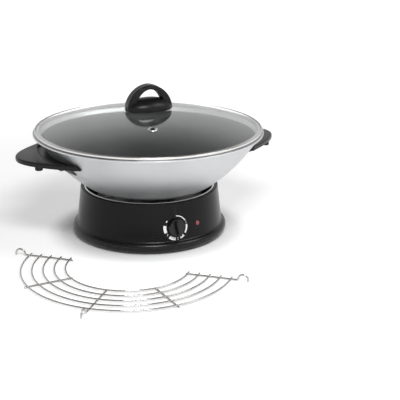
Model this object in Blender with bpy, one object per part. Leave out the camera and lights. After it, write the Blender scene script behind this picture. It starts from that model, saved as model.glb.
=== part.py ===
"""Electric wok: a plastic base with a heater, a lift-off bowl, a lift-off glass lid and a wire rack.

Metres, +Z up. The origin is the middle of the bottom cover's flat underside. The dial faces -Y and
the two handles lie along X. The rubber feet and the rack stand on the table, FOOT_PROUD below it.
"""

import math

import bmesh
import bpy
from mathutils import Matrix, Vector

# How closely the pieces sit
FIT = 0.0003                     # gap between two pieces that touch
OVERRUN = 0.002                  # how far a cutter runs past the faces that it cuts
MERGE_DISTANCE = 0.0000001       # points closer than this are one

# Base shell: a moulded body with a bulged skirt, open above and below
SHELL_WALL = 0.0025
SHELL_SPREAD = 0.0068            # how much wider the straight wall is at its foot than at the lip
SKIRT_TOP_HEIGHT = 0.0150
SKIRT_BULGE = 0.0070             # from the wall's foot out to the skirt's widest line
SKIRT_WIDEST_HEIGHT = 0.0083
SKIRT_TUCK = 0.0050              # from the widest line back to the hem
SKIRT_HEM_HEIGHT = 0.0005
LIP_WIDTH = 0.0048
PAN_STAND = 0.0031               # height of the bowl's underside above the lip
COVER_SEAT_WIDTH = 0.0020        # shoulder that the bottom cover is pulled against
COVER_SEAT_HEIGHT = 0.0025

# Bottom cover and its feet
COVER_THICKNESS = 0.003
VENT_COUNT = 16
VENT_WIDTH = 0.0030
VENT_LENGTH = 0.0180
VENT_RING_RADIUS = 0.0500
FOOT_COUNT = 4
FOOT_PROUD = 0.0030              # how far the feet stand below the cover
FOOT_RADIUS = 0.0090
FOOT_STUD_RADIUS = 0.0030
FOOT_STUD_RISE = 0.0020          # stud's length above the cover
FOOT_INSET = 0.0217              # from the hem

# Reflector: a sheet bowl whose rolled rim is the bright ring round the bowl of the wok
RING_RADIUS = 0.1038             # middle of the rolled rim
RING_TUBE_RADIUS = 0.0020
REFLECTOR_SHEET = 0.0010
REFLECTOR_FLARE = 0.0138         # from the edge of its floor out to the rim

# Heating element: a tubular ring with two legs that pass through the reflector
ELEMENT_INSET = 0.0210           # from the edge of the plate that it heats
ELEMENT_TUBE_RADIUS = 0.0040
ELEMENT_LIFT = 0.0160            # free height between the reflector's floor and the element
ELEMENT_BEND_RADIUS = 0.0090
ELEMENT_LEG_DROP = 0.0150        # how far the legs reach below the reflector's floor
ELEMENT_HOLE_MARGIN = 0.0010
CLIP_COUNT = 3
CLIP_WIDTH = 0.0100
CLIP_SHEET = 0.0012
CLIP_FOOT_LENGTH = 0.0100
CLIP_TAB_LENGTH = 0.0100

# Sensor: a sprung cap in a guide, which feels the bowl's underside
SENSOR_GUIDE_RADIUS = 0.0105
SENSOR_GUIDE_WALL = 0.0015
SENSOR_GUIDE_RISE = 0.0140       # above the reflector's floor
SENSOR_GUIDE_DROP = 0.0055       # below the reflector's floor
SENSOR_FLANGE_WIDTH = 0.0030
SENSOR_FLANGE_THICKNESS = 0.0012
SENSOR_CAP_WALL = 0.0010
SENSOR_CAP_TOP = 0.0012
SENSOR_CAP_SKIRT = 0.0150
SPRING_WIRE_RADIUS = 0.00045
SPRING_PLAY = 0.00225            # round the spring, inside the cap
SPRING_TURNS = 7

# Tie screws, which clamp cover, shell and reflector together
TIE_COUNT = 3
TIE_INSET = 0.0120               # from the edge of the reflector's floor
TIE_SHANK_RADIUS = 0.0020
TIE_HEAD_RADIUS = 0.0038
TIE_HEAD_HEIGHT = 0.0017
TIE_HEAD_RECESS = 0.0020         # depth of the well for its head
TIE_NUT_HEIGHT = 0.0050
TIE_NUT_RADIUS = 0.0050          # across the corners

# Dial and thermostat, square to the sloping front wall
DIAL_RADIUS = 0.0135
DIAL_RISE = 0.0085               # from the skirt to the dial's edge
DIAL_STANDOFF = 0.0012           # from the wall to the dial's back
DIAL_DISC_THICKNESS = 0.0055
DIAL_GRIP_HEIGHT = 0.0085
DIAL_GRIP_WIDTH = 0.0070
DIAL_GRIP_LENGTH = 0.0240
DIAL_CHAMFER = 0.0010
DIAL_RECESS_RADIUS = 0.0085      # round the nut
SHAFT_RADIUS = 0.0030
SHAFT_REACH = 0.0110             # above the wall
SHAFT_TAIL = 0.0080              # inside the thermostat
BUSH_WALL = 0.0020
BUSH_REACH = 0.0034              # above the wall
NUT_RADIUS = 0.0075              # across the corners
NUT_HEIGHT = 0.0024
THERMOSTAT_WIDTH = 0.0280
THERMOSTAT_HEIGHT = 0.0200
THERMOSTAT_DEPTH = 0.0150
THERMOSTAT_TAB_WIDTH = 0.0040
THERMOSTAT_TAB_LENGTH = 0.0060

# Pilot lamp
LAMP_LENS_RADIUS = 0.0035
LAMP_LENS_PROUD = 0.0009
LAMP_STEM = 0.0060
LAMP_HOLDER_WALL = 0.0015
LAMP_HOLDER_LENGTH = 0.0120

# Cord gland at the back
GLAND_BORE_RADIUS = 0.0035
GLAND_BODY_RADIUS = 0.0062
GLAND_FLANGE_RADIUS = 0.0085
GLAND_PROUD = 0.0040
GLAND_TAIL = 0.0080

# Terminal block, thermal fuse and the leads inside the base
BLOCK_LENGTH = 0.0300
BLOCK_WIDTH = 0.0120
BLOCK_HEIGHT = 0.0120
BLOCK_INSET = 0.0120             # from the edge of the reflector's floor above it
BLOCK_BORE_RADIUS = 0.0020
BLOCK_BORE_SPACING = 0.0090
FUSE_RADIUS = 0.0026
FUSE_LENGTH = 0.0180
FUSE_LEFT = 0.0300
FUSE_BACK = 0.0150
LEAD_RADIUS = 0.0012

# Bowl of the wok
PAN_RIM_RADIUS = 0.1834
PAN_RIM_WIDTH = 0.0054           # overhang of the rim beyond the wall
PAN_RIM_HEIGHT = 0.0028
PAN_RIM_ROUND = 0.0008
PAN_HEIGHT = 0.0864              # from the floor's underside to the rim's top
PAN_WALL = 0.0030
PAN_FLOOR_THICKNESS = 0.0040
PAN_FOOT_GAP = 0.0038            # from the bright ring in to the edge of the floor
PAN_BULGE = 0.0065               # how far the wall's curve stands off its chord
PLATE_THICKNESS = 0.0060         # spreader plate under the floor
PLATE_INSET = 0.0210             # from the edge of the floor
PLATE_CHAMFER = 0.0010

# Handles of the bowl, wings that hug the wall
HANDLE_WALL_GAP = 0.0005         # level distance from the sloping wall
HANDLE_REACH = 0.0326            # beyond the rim
HANDLE_HALF_SPAN = 0.0830
HANDLE_TIP_THICKNESS = 0.0035
HANDLE_DROP = 0.0232             # from the rim's top to the handle's top
HANDLE_EDGE_THICKNESS = 0.0075
HANDLE_EDGE_ROUND = 0.0025
HANDLE_RECESS_DEPTH = 0.0040
HANDLE_RECESS_WIDTH = 0.0130
HANDLE_RECESS_SLOPE = 0.0030
HANDLE_RECESS_SHARE = 0.4        # recess's width near the tips, as a share of the handle's
HANDLE_ROOT_DEPTH = 0.0030       # extra depth of the underside where the bracket lies
HANDLE_BOSS_RADIUS = 0.0060
HANDLE_BOSS_DROP = 0.0056
HANDLE_BOSS_INSET = 0.0255       # from the handle's crest back to its two small feet
HANDLE_BOSS_OFFSET = 0.0370      # from the handle's middle, along its span
HANDLE_OUTLINE_POWER = 1.0
TIP_DEPTH_SHARE = 0.2            # what is left of the extra depth at the handle's tips
BRACKET_SHEET = 0.0020
BRACKET_HALF_SPAN = 0.0540
BRACKET_LEG = 0.0100             # height of the leg that lies on the wall
BRACKET_TAB = 0.0160             # reach of the tab under the handle
HANDLE_SCREW_MARGIN = 0.0080     # from the bracket's end
HANDLE_SCREW_RADIUS = 0.0018
HANDLE_SCREW_COVER = 0.0015      # plastic left above its tip
HANDLE_SCREW_HEAD_RADIUS = 0.0040
HANDLE_SCREW_HEAD_HEIGHT = 0.0022
SCREW_CROWN_SHARE = 0.7          # flat of a screw's head, as a share of its radius

# Lid: a glass dome in a steel band
LID_RISE = 0.0284                # of the glass above its edge
LID_INSET = 0.0029               # from the bowl's rim
GLASS_THICKNESS = 0.0026
BAND_SHEET = 0.0004
BAND_LIP = 0.0016                # how far its upper lip reaches over the glass
BAND_SKIRT = 0.0030              # how far it reaches into the bowl
LID_PLAY = 0.0012
VENT_EYELET_OFFSET = 0.0955      # from the lid's middle
EYELET_FLANGE_RADIUS = 0.0078
EYELET_BORE_RADIUS = 0.0034
EYELET_WALL = 0.0008
EYELET_FLANGE_THICKNESS = 0.0011

# Knob of the lid: an oval dome with an arch over it
KNOB_HALF_LENGTH = 0.0385
KNOB_HALF_WIDTH = 0.0230
KNOB_DOME_HEIGHT = 0.0200
KNOB_EDGE_HEIGHT = 0.0035        # straight foot below the dome
KNOB_HEIGHT = 0.0405
KNOB_ARCH_THICKNESS = 0.0070     # at the top
KNOB_ARCH_LEG = 0.0135           # at the sides
KNOB_ARCH_WIDTH = 0.0185
KNOB_ARCH_CHAMFER = 0.0018
KNOB_ARCH_SPRING = 0.0035        # height where the arch's curve starts
KNOB_ARCH_POWER = 1.85           # 2 would be an ellipse, and less is more pointed
KNOB_SCREW_RADIUS = 0.0020
KNOB_SCREW_DEPTH = 0.0100
KNOB_SCREW_HEAD_RADIUS = 0.0055
KNOB_SCREW_HEAD_HEIGHT = 0.0025
KNOB_WASHER_RADIUS = 0.0100
KNOB_WASHER_THICKNESS = 0.0015

# Rack: bent wires, welded, with three hooks for the rim
RACK_INSET = 0.0254              # of its outer wire, from the radius of the bowl's rim
RACK_DEPTH = 0.0650              # from the outer wire to the inner one
RACK_ARCS = 5
RACK_WIRE_RADIUS = 0.00125
RACK_BAR_RADIUS = 0.00150
RACK_WELD_SINK = 0.0006
RACK_WIRE_OVERHANG = 0.0040
RACK_GAP = 0.0496                # from the skirt to the middle of the rack's arcs
HOOK_RISE = 0.0085
HOOK_REACH = 0.0100              # from the rack's outer wire to the hook
HOOK_WIDTH = 0.0145

# Angles, seen from above: 0 is the front for those round the base
LAMP_ANGLE = math.radians(19.6)
GLAND_ANGLE = math.radians(180)
EYELET_ANGLE = math.radians(-17)
ELEMENT_GAP_ANGLE = math.radians(40)
FOOT_START_ANGLE = math.radians(45)
TIE_START_ANGLE = math.radians(30)
CLIP_START_ANGLE = math.radians(-90)
DIAL_REST_ANGLE = math.radians(10)
RACK_PLACE_ANGLE = math.radians(-31.16)
RACK_DIRECTION = math.radians(-129.5)
RACK_BAR_ANGLES = (math.radians(-90), math.radians(-45), 0, math.radians(45), math.radians(90))
RACK_HOOKED_BARS = (0, 2, 4)

# Finenesses of the round pieces
STEPS_LARGE = 56
STEPS_WELL = 40
STEPS_SMALL = 16
STEPS_TINY = 10

# Levels and lines worked out from the sizes above
TABLE_Z = -FOOT_PROUD
DIAL_HEIGHT = SKIRT_TOP_HEIGHT + DIAL_RISE + DIAL_RADIUS
LAMP_HEIGHT = DIAL_HEIGHT
GLAND_HEIGHT = DIAL_HEIGHT
REFLECTOR_FLOOR_RADIUS = RING_RADIUS - REFLECTOR_FLARE
REFLECTOR_FLOOR_HEIGHT = DIAL_HEIGHT + THERMOSTAT_HEIGHT / 2
REFLECTOR_FLOOR_TOP = REFLECTOR_FLOOR_HEIGHT + REFLECTOR_SHEET
PAN_FLOOR_RADIUS = RING_RADIUS - PAN_FOOT_GAP
PLATE_RADIUS = PAN_FLOOR_RADIUS - PLATE_INSET
ELEMENT_RING_RADIUS = PLATE_RADIUS - ELEMENT_INSET
TIE_RING_RADIUS = REFLECTOR_FLOOR_RADIUS - TIE_INSET
BLOCK_BACK = REFLECTOR_FLOOR_RADIUS - BLOCK_INSET
ELEMENT_Z = REFLECTOR_FLOOR_TOP + ELEMENT_LIFT + ELEMENT_TUBE_RADIUS
ELEMENT_TOP = ELEMENT_Z + ELEMENT_TUBE_RADIUS
PLATE_Z = ELEMENT_TOP + FIT
PAN_Z = PLATE_Z + PLATE_THICKNESS + FIT
PAN_RIM_TOP = PAN_Z + PAN_HEIGHT
PAN_RIM_BOTTOM = PAN_RIM_TOP - PAN_RIM_HEIGHT
PAN_FLOOR_TOP = PAN_Z + PAN_FLOOR_THICKNESS
SHELL_HEIGHT = PAN_Z - PAN_STAND
LEDGE_TOP = SHELL_HEIGHT - 2 * RING_TUBE_RADIUS - FIT
LEDGE_RADIUS = RING_RADIUS - RING_TUBE_RADIUS + REFLECTOR_SHEET + FIT
LIP_RADIUS = RING_RADIUS + RING_TUBE_RADIUS + FIT
SHELL_TOP_RADIUS = LIP_RADIUS + LIP_WIDTH
SHELL_FOOT_RADIUS = SHELL_TOP_RADIUS + SHELL_SPREAD
SKIRT_RADIUS = SHELL_FOOT_RADIUS + SKIRT_BULGE
SKIRT_HEM_RADIUS = SKIRT_RADIUS - SKIRT_TUCK
FOOT_RING_RADIUS = SKIRT_HEM_RADIUS - FOOT_INSET
HANDLE_TOP = PAN_RIM_TOP - HANDLE_DROP
HANDLE_BOTTOM = HANDLE_TOP - HANDLE_EDGE_THICKNESS
HANDLE_ROOT_BOTTOM = HANDLE_BOTTOM - HANDLE_ROOT_DEPTH
HANDLE_SCREW_OFFSET = BRACKET_HALF_SPAN - HANDLE_SCREW_MARGIN
HANDLE_SCREW_DEPTH = HANDLE_TOP - HANDLE_RECESS_DEPTH - HANDLE_SCREW_COVER - HANDLE_ROOT_BOTTOM
LID_RADIUS = PAN_RIM_RADIUS - LID_INSET
BAND_Z = PAN_RIM_TOP + FIT
GLASS_EDGE_RADIUS = LID_RADIUS - BAND_SHEET - FIT
GLASS_EDGE_TOP = BAND_Z + BAND_SHEET + FIT + GLASS_THICKNESS
GLASS_APEX = GLASS_EDGE_TOP + LID_RISE
GLASS_CURVE_RADIUS = (GLASS_EDGE_RADIUS ** 2 + LID_RISE ** 2) / (2 * LID_RISE)
KNOB_Z = GLASS_APEX + FIT
WALL_LEAN = math.atan2(SHELL_FOOT_RADIUS - SHELL_TOP_RADIUS, SHELL_HEIGHT - SKIRT_TOP_HEIGHT)
SENSOR_TOP = ELEMENT_TOP
SENSOR_CAP_RADIUS = SENSOR_GUIDE_RADIUS - SENSOR_GUIDE_WALL - FIT
SENSOR_GUIDE_FLOOR = REFLECTOR_FLOOR_HEIGHT - SENSOR_GUIDE_DROP
SPRING_MEAN_RADIUS = SENSOR_CAP_RADIUS - SENSOR_CAP_WALL - SPRING_PLAY - SPRING_WIRE_RADIUS
RACK_OUTER_RADIUS = PAN_RIM_RADIUS - RACK_INSET
RACK_INNER_RADIUS = RACK_OUTER_RADIUS - RACK_DEPTH


# Helpers

def clear_scene():
    """Remove every object that the file opened with."""
    for thing in list(bpy.data.objects):
        bpy.data.objects.remove(thing, do_unlink=True)


def paint(name, colour, roughness, metallic=0.0, alpha=1.0):
    """A Principled material of one colour."""
    material = bpy.data.materials.new(name)
    material.use_nodes = True
    shader = material.node_tree.nodes["Principled BSDF"]
    shader.inputs["Base Color"].default_value = (*colour, 1.0)
    shader.inputs["Roughness"].default_value = roughness
    shader.inputs["Metallic"].default_value = metallic
    shader.inputs["Alpha"].default_value = alpha
    material.diffuse_color = (*colour, alpha)
    return material


def add(name, bm, material=None, parent=None):
    """Make an object of a bmesh, with its faces pointing out and its round sides smooth."""
    bmesh.ops.remove_doubles(bm, verts=bm.verts, dist=MERGE_DISTANCE)
    bmesh.ops.recalc_face_normals(bm, faces=bm.faces)
    mesh = bpy.data.meshes.new(name)
    bm.to_mesh(mesh)
    bm.free()
    mesh.shade_smooth()
    mesh.set_sharp_from_angle(angle=math.radians(35))
    thing = bpy.data.objects.new(name, mesh)
    bpy.context.collection.objects.link(thing)
    if material:
        mesh.materials.append(material)
    if parent:
        thing.parent = parent
    return thing


def turned(name, profile, steps, material=None, parent=None):
    """Spin a profile of (radius, height) points round Z. One that starts and ends at radius 0 is a
    solid, and any other closes on itself as a ring."""
    bm = bmesh.new()
    points = [bm.verts.new((radius, 0, height)) for radius, height in profile]
    edges = [bm.edges.new(pair) for pair in zip(points, points[1:])]
    if profile[0][0] > 0 or profile[-1][0] > 0:
        edges.append(bm.edges.new((points[-1], points[0])))
    bmesh.ops.spin(bm, geom=points + edges, axis=(0, 0, 1), cent=(0, 0, 0),
                   angle=math.tau, steps=steps, use_merge=True)
    return add(name, bm, material, parent)


def cylinder(name, radius, low, high, steps, material=None, parent=None):
    """A plain round bar along Z, between two heights."""
    return turned(name, [(0, low), (radius, low), (radius, high), (0, high)], steps, material, parent)


def extruded(name, outline, start, end, material=None, parent=None):
    """Carry a closed outline from one place to another; each is a function of an outline point."""
    bm = bmesh.new()
    near = [bm.verts.new(start(*point)) for point in outline]
    far = [bm.verts.new(end(*point)) for point in outline]
    bm.faces.new(near)
    bm.faces.new(far)
    for one in range(len(outline)):
        two = (one + 1) % len(outline)
        bm.faces.new((near[one], near[two], far[two], far[one]))
    return add(name, bm, material, parent)


def lofted(name, sections, material=None, parent=None):
    """Join closed sections of equally many points into one body, with flat ends."""
    bm = bmesh.new()
    rings = [[bm.verts.new(point) for point in section] for section in sections]
    for near, far in zip(rings, rings[1:]):
        for one in range(len(near)):
            two = (one + 1) % len(near)
            bm.faces.new((near[one], near[two], far[two], far[one]))
    bm.faces.new(rings[0])
    bm.faces.new(rings[-1])
    bmesh.ops.triangulate(bm, faces=[face for face in bm.faces if len(face.verts) > 4])
    return add(name, bm, material, parent)


def hexagon_nut(name, bore, corners, low, high, material, parent=None):
    """A six-sided nut with a round bore, between two heights."""
    nut = cylinder(name, corners, low, high, 6, material, parent)
    drill = cylinder(f"{name}_bore", bore, low - OVERRUN, high + OVERRUN, STEPS_SMALL, parent=nut)
    combine(nut, drill, "DIFFERENCE")
    return nut


def block(name, low, high, material=None, parent=None):
    """A box between two corners."""
    outline = [(low[0], low[1]), (high[0], low[1]), (high[0], high[1]), (low[0], high[1])]
    return extruded(name, outline, lambda x, y: (x, y, low[2]), lambda x, y: (x, y, high[2]),
                    material, parent)


def tube(name, points, radius, sides_level, material=None, cyclic=False):
    """A round wire through the points, as a curve with a bevel and filled ends."""
    curve = bpy.data.curves.new(name, "CURVE")
    curve.dimensions = "3D"
    curve.bevel_depth = radius
    curve.bevel_resolution = sides_level
    curve.use_fill_caps = True
    spline = curve.splines.new("POLY")
    spline.points.add(len(points) - 1)
    for spot, point in zip(spline.points, points):
        spot.co = (*point, 1.0)
    spline.use_cyclic_u = cyclic
    thing = bpy.data.objects.new(name, curve)
    bpy.context.collection.objects.link(thing)
    if material:
        curve.materials.append(material)
    return thing


def rounded_route(points, rounds):
    """A broken line with its corners cut, a quarter of each side at a time; the ends stay."""
    route = [Vector(point) for point in points]
    for _ in range(rounds):
        cut = [route[0]]
        for one, two in zip(route, route[1:]):
            cut += [one.lerp(two, 0.25), one.lerp(two, 0.75)]
        route = cut + [route[-1]]
    return route


def as_cutter(thing):
    """Keep an object out of the model: it only shapes others."""
    thing.hide_render = True
    thing.display_type = "WIRE"
    return thing


def combine(target, other, operation):
    """Cut a shape out of the target, or weld it on."""
    modifier = target.modifiers.new(other.name, "BOOLEAN")
    modifier.operation = operation
    modifier.solver = "EXACT"
    modifier.object = as_cutter(other)


def arc(centre, radii, start, end, steps):
    """Points on a part of an ellipse, with both ends."""
    points = []
    for step in range(steps + 1):
        angle = start + (end - start) * step / steps
        points.append((centre[0] + radii[0] * math.cos(angle), centre[1] + radii[1] * math.sin(angle)))
    return points


def at_angle(radius, angle, height):
    """A place round the base, where angle 0 is the front and a positive one goes towards +X."""
    return Vector((radius * math.sin(angle), -radius * math.cos(angle), height))


def socket(name, place, lean, angle):
    """An empty whose Z axis points out of a wall that leans in by an angle, its Y axis up the wall."""
    frame = bpy.data.objects.new(name, None)
    frame.location = place
    frame.rotation_euler = (math.radians(90) - lean, 0, angle)
    bpy.context.collection.objects.link(frame)
    return frame


# Lines that several pieces follow

def shell_radius(height):
    """Outer radius of the base's straight wall."""
    share = (height - SKIRT_TOP_HEIGHT) / (SHELL_HEIGHT - SKIRT_TOP_HEIGHT)
    return SHELL_FOOT_RADIUS + (SHELL_TOP_RADIUS - SHELL_FOOT_RADIUS) * share


def pan_curve():
    """Centre and radius of the circle that the bowl's outer wall follows."""
    low = Vector((PAN_FLOOR_RADIUS, PAN_Z))
    high = Vector((PAN_RIM_RADIUS - PAN_RIM_WIDTH, PAN_RIM_BOTTOM))
    chord = high - low
    radius = (chord.length_squared / 4 + PAN_BULGE ** 2) / (2 * PAN_BULGE)
    outward = Vector((chord.y, -chord.x)).normalized()
    return (low + high) / 2 - outward * (radius - PAN_BULGE), radius


def pan_radius(height, inside=0):
    """Radius of the bowl's wall at a height, measured a distance inside its outer face."""
    centre, radius = pan_curve()
    return centre.x + math.sqrt((radius - inside) ** 2 - (height - centre.y) ** 2)


def glass_height(radius):
    """Height of the glass's upper face."""
    return GLASS_APEX - GLASS_CURVE_RADIUS + math.sqrt(GLASS_CURVE_RADIUS ** 2 - radius ** 2)


# Base

def make_base_shell(material):
    """The black body: lip and ledge above, straight wall, bulged skirt, seat for the cover."""
    ledge_bottom = LEDGE_TOP - SHELL_WALL
    hem_inside = SKIRT_HEM_RADIUS - SHELL_WALL
    seat_radius = hem_inside - COVER_SEAT_WIDTH
    seat_bottom = COVER_THICKNESS + FIT
    seat_top = seat_bottom + COVER_SEAT_HEIGHT
    rounding = LIP_WIDTH / 3
    profile = [(LIP_RADIUS, LEDGE_TOP), (LIP_RADIUS, SHELL_HEIGHT)]
    profile += arc((SHELL_TOP_RADIUS - rounding, SHELL_HEIGHT - rounding), (rounding, rounding),
                   math.radians(90), 0, 2)
    profile += arc((SHELL_FOOT_RADIUS, SKIRT_WIDEST_HEIGHT),
                   (SKIRT_RADIUS - SHELL_FOOT_RADIUS, SKIRT_TOP_HEIGHT - SKIRT_WIDEST_HEIGHT),
                   math.radians(90), 0, 5)
    profile += arc((SKIRT_HEM_RADIUS, SKIRT_WIDEST_HEIGHT),
                   (SKIRT_RADIUS - SKIRT_HEM_RADIUS, SKIRT_WIDEST_HEIGHT - SKIRT_HEM_HEIGHT),
                   0, math.radians(-90), 3)[1:]
    profile += [(hem_inside, SKIRT_HEM_HEIGHT), (hem_inside, seat_bottom), (seat_radius, seat_bottom),
                (seat_radius, seat_top), (SKIRT_RADIUS - SHELL_WALL, SKIRT_WIDEST_HEIGHT)]
    profile += [(SHELL_FOOT_RADIUS - SHELL_WALL, SKIRT_TOP_HEIGHT),
                (shell_radius(ledge_bottom) - SHELL_WALL, ledge_bottom),
                (LEDGE_RADIUS, ledge_bottom), (LEDGE_RADIUS, LEDGE_TOP)]
    shell = turned("base_shell", profile, STEPS_LARGE, material)
    for name, radius, frame in (("dial_hole", SHAFT_RADIUS + BUSH_WALL + 2 * FIT, "dial_axis"),
                                ("lamp_hole", LAMP_LENS_RADIUS + FIT, "lamp_axis"),
                                ("gland_hole", GLAND_BODY_RADIUS + FIT, "gland_axis")):
        hole = cylinder(name, radius, -SHELL_WALL - OVERRUN, OVERRUN, STEPS_SMALL,
                        parent=bpy.data.objects[frame])
        combine(shell, hole, "DIFFERENCE")


def make_bottom_cover(material):
    """The black plate that closes the base, with vents, foot holes and wells for the tie screws."""
    radius = SKIRT_HEM_RADIUS - SHELL_WALL - FIT
    cover = cylinder("bottom_cover", radius, 0, COVER_THICKNESS, STEPS_WELL, material)
    half_width = VENT_WIDTH / 2
    inner = VENT_RING_RADIUS - VENT_LENGTH / 2
    outer = VENT_RING_RADIUS + VENT_LENGTH / 2
    for number in range(VENT_COUNT):
        slot = block(f"vent_slot_{number + 1}", (inner, -half_width, -OVERRUN),
                     (outer, half_width, COVER_THICKNESS + OVERRUN))
        slot.rotation_euler.z = math.tau * (number + 0.5) / VENT_COUNT
        combine(cover, slot, "DIFFERENCE")
    for number in range(FOOT_COUNT):
        place = at_angle(FOOT_RING_RADIUS, FOOT_START_ANGLE + math.tau * number / FOOT_COUNT, 0)
        hole = cylinder(f"foot_hole_{number + 1}", FOOT_STUD_RADIUS + FIT, -OVERRUN,
                        COVER_THICKNESS + OVERRUN, STEPS_TINY)
        hole.location = place
        combine(cover, hole, "DIFFERENCE")
    for number in range(TIE_COUNT):
        place = at_angle(TIE_RING_RADIUS, TIE_START_ANGLE + math.tau * number / TIE_COUNT, 0)
        well = turned(f"tie_well_{number + 1}",
                      [(0, -OVERRUN), (TIE_HEAD_RADIUS + FIT, -OVERRUN),
                       (TIE_HEAD_RADIUS + FIT, TIE_HEAD_RECESS),
                       (TIE_SHANK_RADIUS + FIT, TIE_HEAD_RECESS),
                       (TIE_SHANK_RADIUS + FIT, COVER_THICKNESS + OVERRUN),
                       (0, COVER_THICKNESS + OVERRUN)], STEPS_TINY)
        well.location = place
        combine(cover, well, "DIFFERENCE")


def make_feet(material):
    """Four rubber pads, each with a stud pushed through the cover and a bead that holds it."""
    bead = COVER_THICKNESS + FIT
    for number in range(FOOT_COUNT):
        foot = turned(f"foot_{number + 1}",
                      [(0, TABLE_Z), (FOOT_RADIUS, TABLE_Z), (FOOT_RADIUS, -FIT),
                       (FOOT_STUD_RADIUS, -FIT), (FOOT_STUD_RADIUS, bead),
                       (FOOT_STUD_RADIUS + 2 * FIT, bead),
                       (FOOT_STUD_RADIUS, bead + FOOT_STUD_RISE), (0, bead + FOOT_STUD_RISE)],
                      STEPS_SMALL, material)
        foot.location = at_angle(FOOT_RING_RADIUS, FOOT_START_ANGLE + math.tau * number / FOOT_COUNT, 0)


def reflector_line():
    """Rim centre of the reflector, and the foot and head of its sloping wall's upper face."""
    rim = Vector((RING_RADIUS, LEDGE_TOP + FIT + RING_TUBE_RADIUS))
    foot = Vector((REFLECTOR_FLOOR_RADIUS, REFLECTOR_FLOOR_TOP))
    head = Vector((RING_RADIUS - RING_TUBE_RADIUS, rim.y))
    return rim, foot, head


def make_reflector(material):
    """The bright sheet bowl with a rolled rim, a flat floor and holes for the sensor and the legs."""
    rim, foot, head = reflector_line()
    away = Vector((head.y - foot.y, foot.x - head.x)).normalized() * REFLECTOR_SHEET
    hole = SENSOR_GUIDE_RADIUS + FIT
    profile = [(hole, REFLECTOR_FLOOR_TOP), tuple(foot)]
    profile += arc(rim, (RING_TUBE_RADIUS, RING_TUBE_RADIUS), math.radians(180), math.radians(-90), 7)
    profile.append(tuple(head + away + (foot - head) * (RING_TUBE_RADIUS / (head - foot).length)))
    profile += [(REFLECTOR_FLOOR_RADIUS + away.x / 2, REFLECTOR_FLOOR_HEIGHT),
                (hole, REFLECTOR_FLOOR_HEIGHT)]
    bowl = turned("reflector_bowl", profile, STEPS_WELL, material)
    for number, place in enumerate(leg_places()):
        passage = cylinder(f"leg_hole_{number + 1}", ELEMENT_TUBE_RADIUS + ELEMENT_HOLE_MARGIN,
                           REFLECTOR_FLOOR_HEIGHT - OVERRUN, REFLECTOR_FLOOR_TOP + OVERRUN, STEPS_TINY)
        passage.location = (place.x, place.y, 0)
        combine(bowl, passage, "DIFFERENCE")


def leg_places():
    """Where the element's two legs go down, left then right of the gap at the back."""
    places = []
    for side in (-1, 1):
        angle = math.radians(90) - side * ELEMENT_GAP_ANGLE / 2
        end = Vector((math.cos(angle), math.sin(angle))) * ELEMENT_RING_RADIUS
        along = Vector((-math.sin(angle), math.cos(angle))) * side
        places.append(end + along * ELEMENT_BEND_RADIUS)
    return places


def make_element(material):
    """The heating tube: a ring open at the back, whose ends bend down through the reflector."""
    start = math.radians(90) + ELEMENT_GAP_ANGLE / 2
    sweep = math.tau - ELEMENT_GAP_ANGLE
    ring_steps = 28
    ring = []
    for step in range(ring_steps + 1):
        angle = start + sweep * step / ring_steps
        ring.append(Vector((math.cos(angle) * ELEMENT_RING_RADIUS,
                            math.sin(angle) * ELEMENT_RING_RADIUS, ELEMENT_Z)))
    ends = []
    for corner, before in ((ring[0], start), (ring[-1], start + sweep)):
        side = -1 if corner is ring[0] else 1
        along = Vector((-math.sin(before), math.cos(before), 0)) * side
        bend = []
        for step in range(1, 5):
            angle = math.radians(90) * step / 4
            bend.append(corner + along * (ELEMENT_BEND_RADIUS * math.sin(angle))
                        - Vector((0, 0, ELEMENT_BEND_RADIUS * (1 - math.cos(angle)))))
        foot = bend[-1].copy()
        foot.z = REFLECTOR_FLOOR_HEIGHT - ELEMENT_LEG_DROP
        bend.append(foot)
        ends.append(bend)
    tube("heating_element", ends[0][::-1] + ring + ends[1], ELEMENT_TUBE_RADIUS, 2, material)


def make_element_clips(material):
    """Bent strips that carry the element above the reflector's floor."""
    low = REFLECTOR_FLOOR_TOP + FIT
    high = ELEMENT_Z - ELEMENT_TUBE_RADIUS - FIT
    post = ELEMENT_RING_RADIUS + CLIP_TAB_LENGTH / 2
    outline = [(post + CLIP_FOOT_LENGTH, low), (post + CLIP_FOOT_LENGTH, low + CLIP_SHEET),
               (post + CLIP_SHEET, low + CLIP_SHEET), (post + CLIP_SHEET, high),
               (post - CLIP_TAB_LENGTH, high), (post - CLIP_TAB_LENGTH, high - CLIP_SHEET),
               (post, high - CLIP_SHEET), (post, low)]
    half = CLIP_WIDTH / 2
    for number in range(CLIP_COUNT):
        clip = extruded(f"element_clip_{number + 1}", outline, lambda x, z: (x, -half, z),
                        lambda x, z: (x, half, z), material)
        clip.rotation_euler.z = CLIP_START_ANGLE + math.tau * number / CLIP_COUNT


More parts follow.
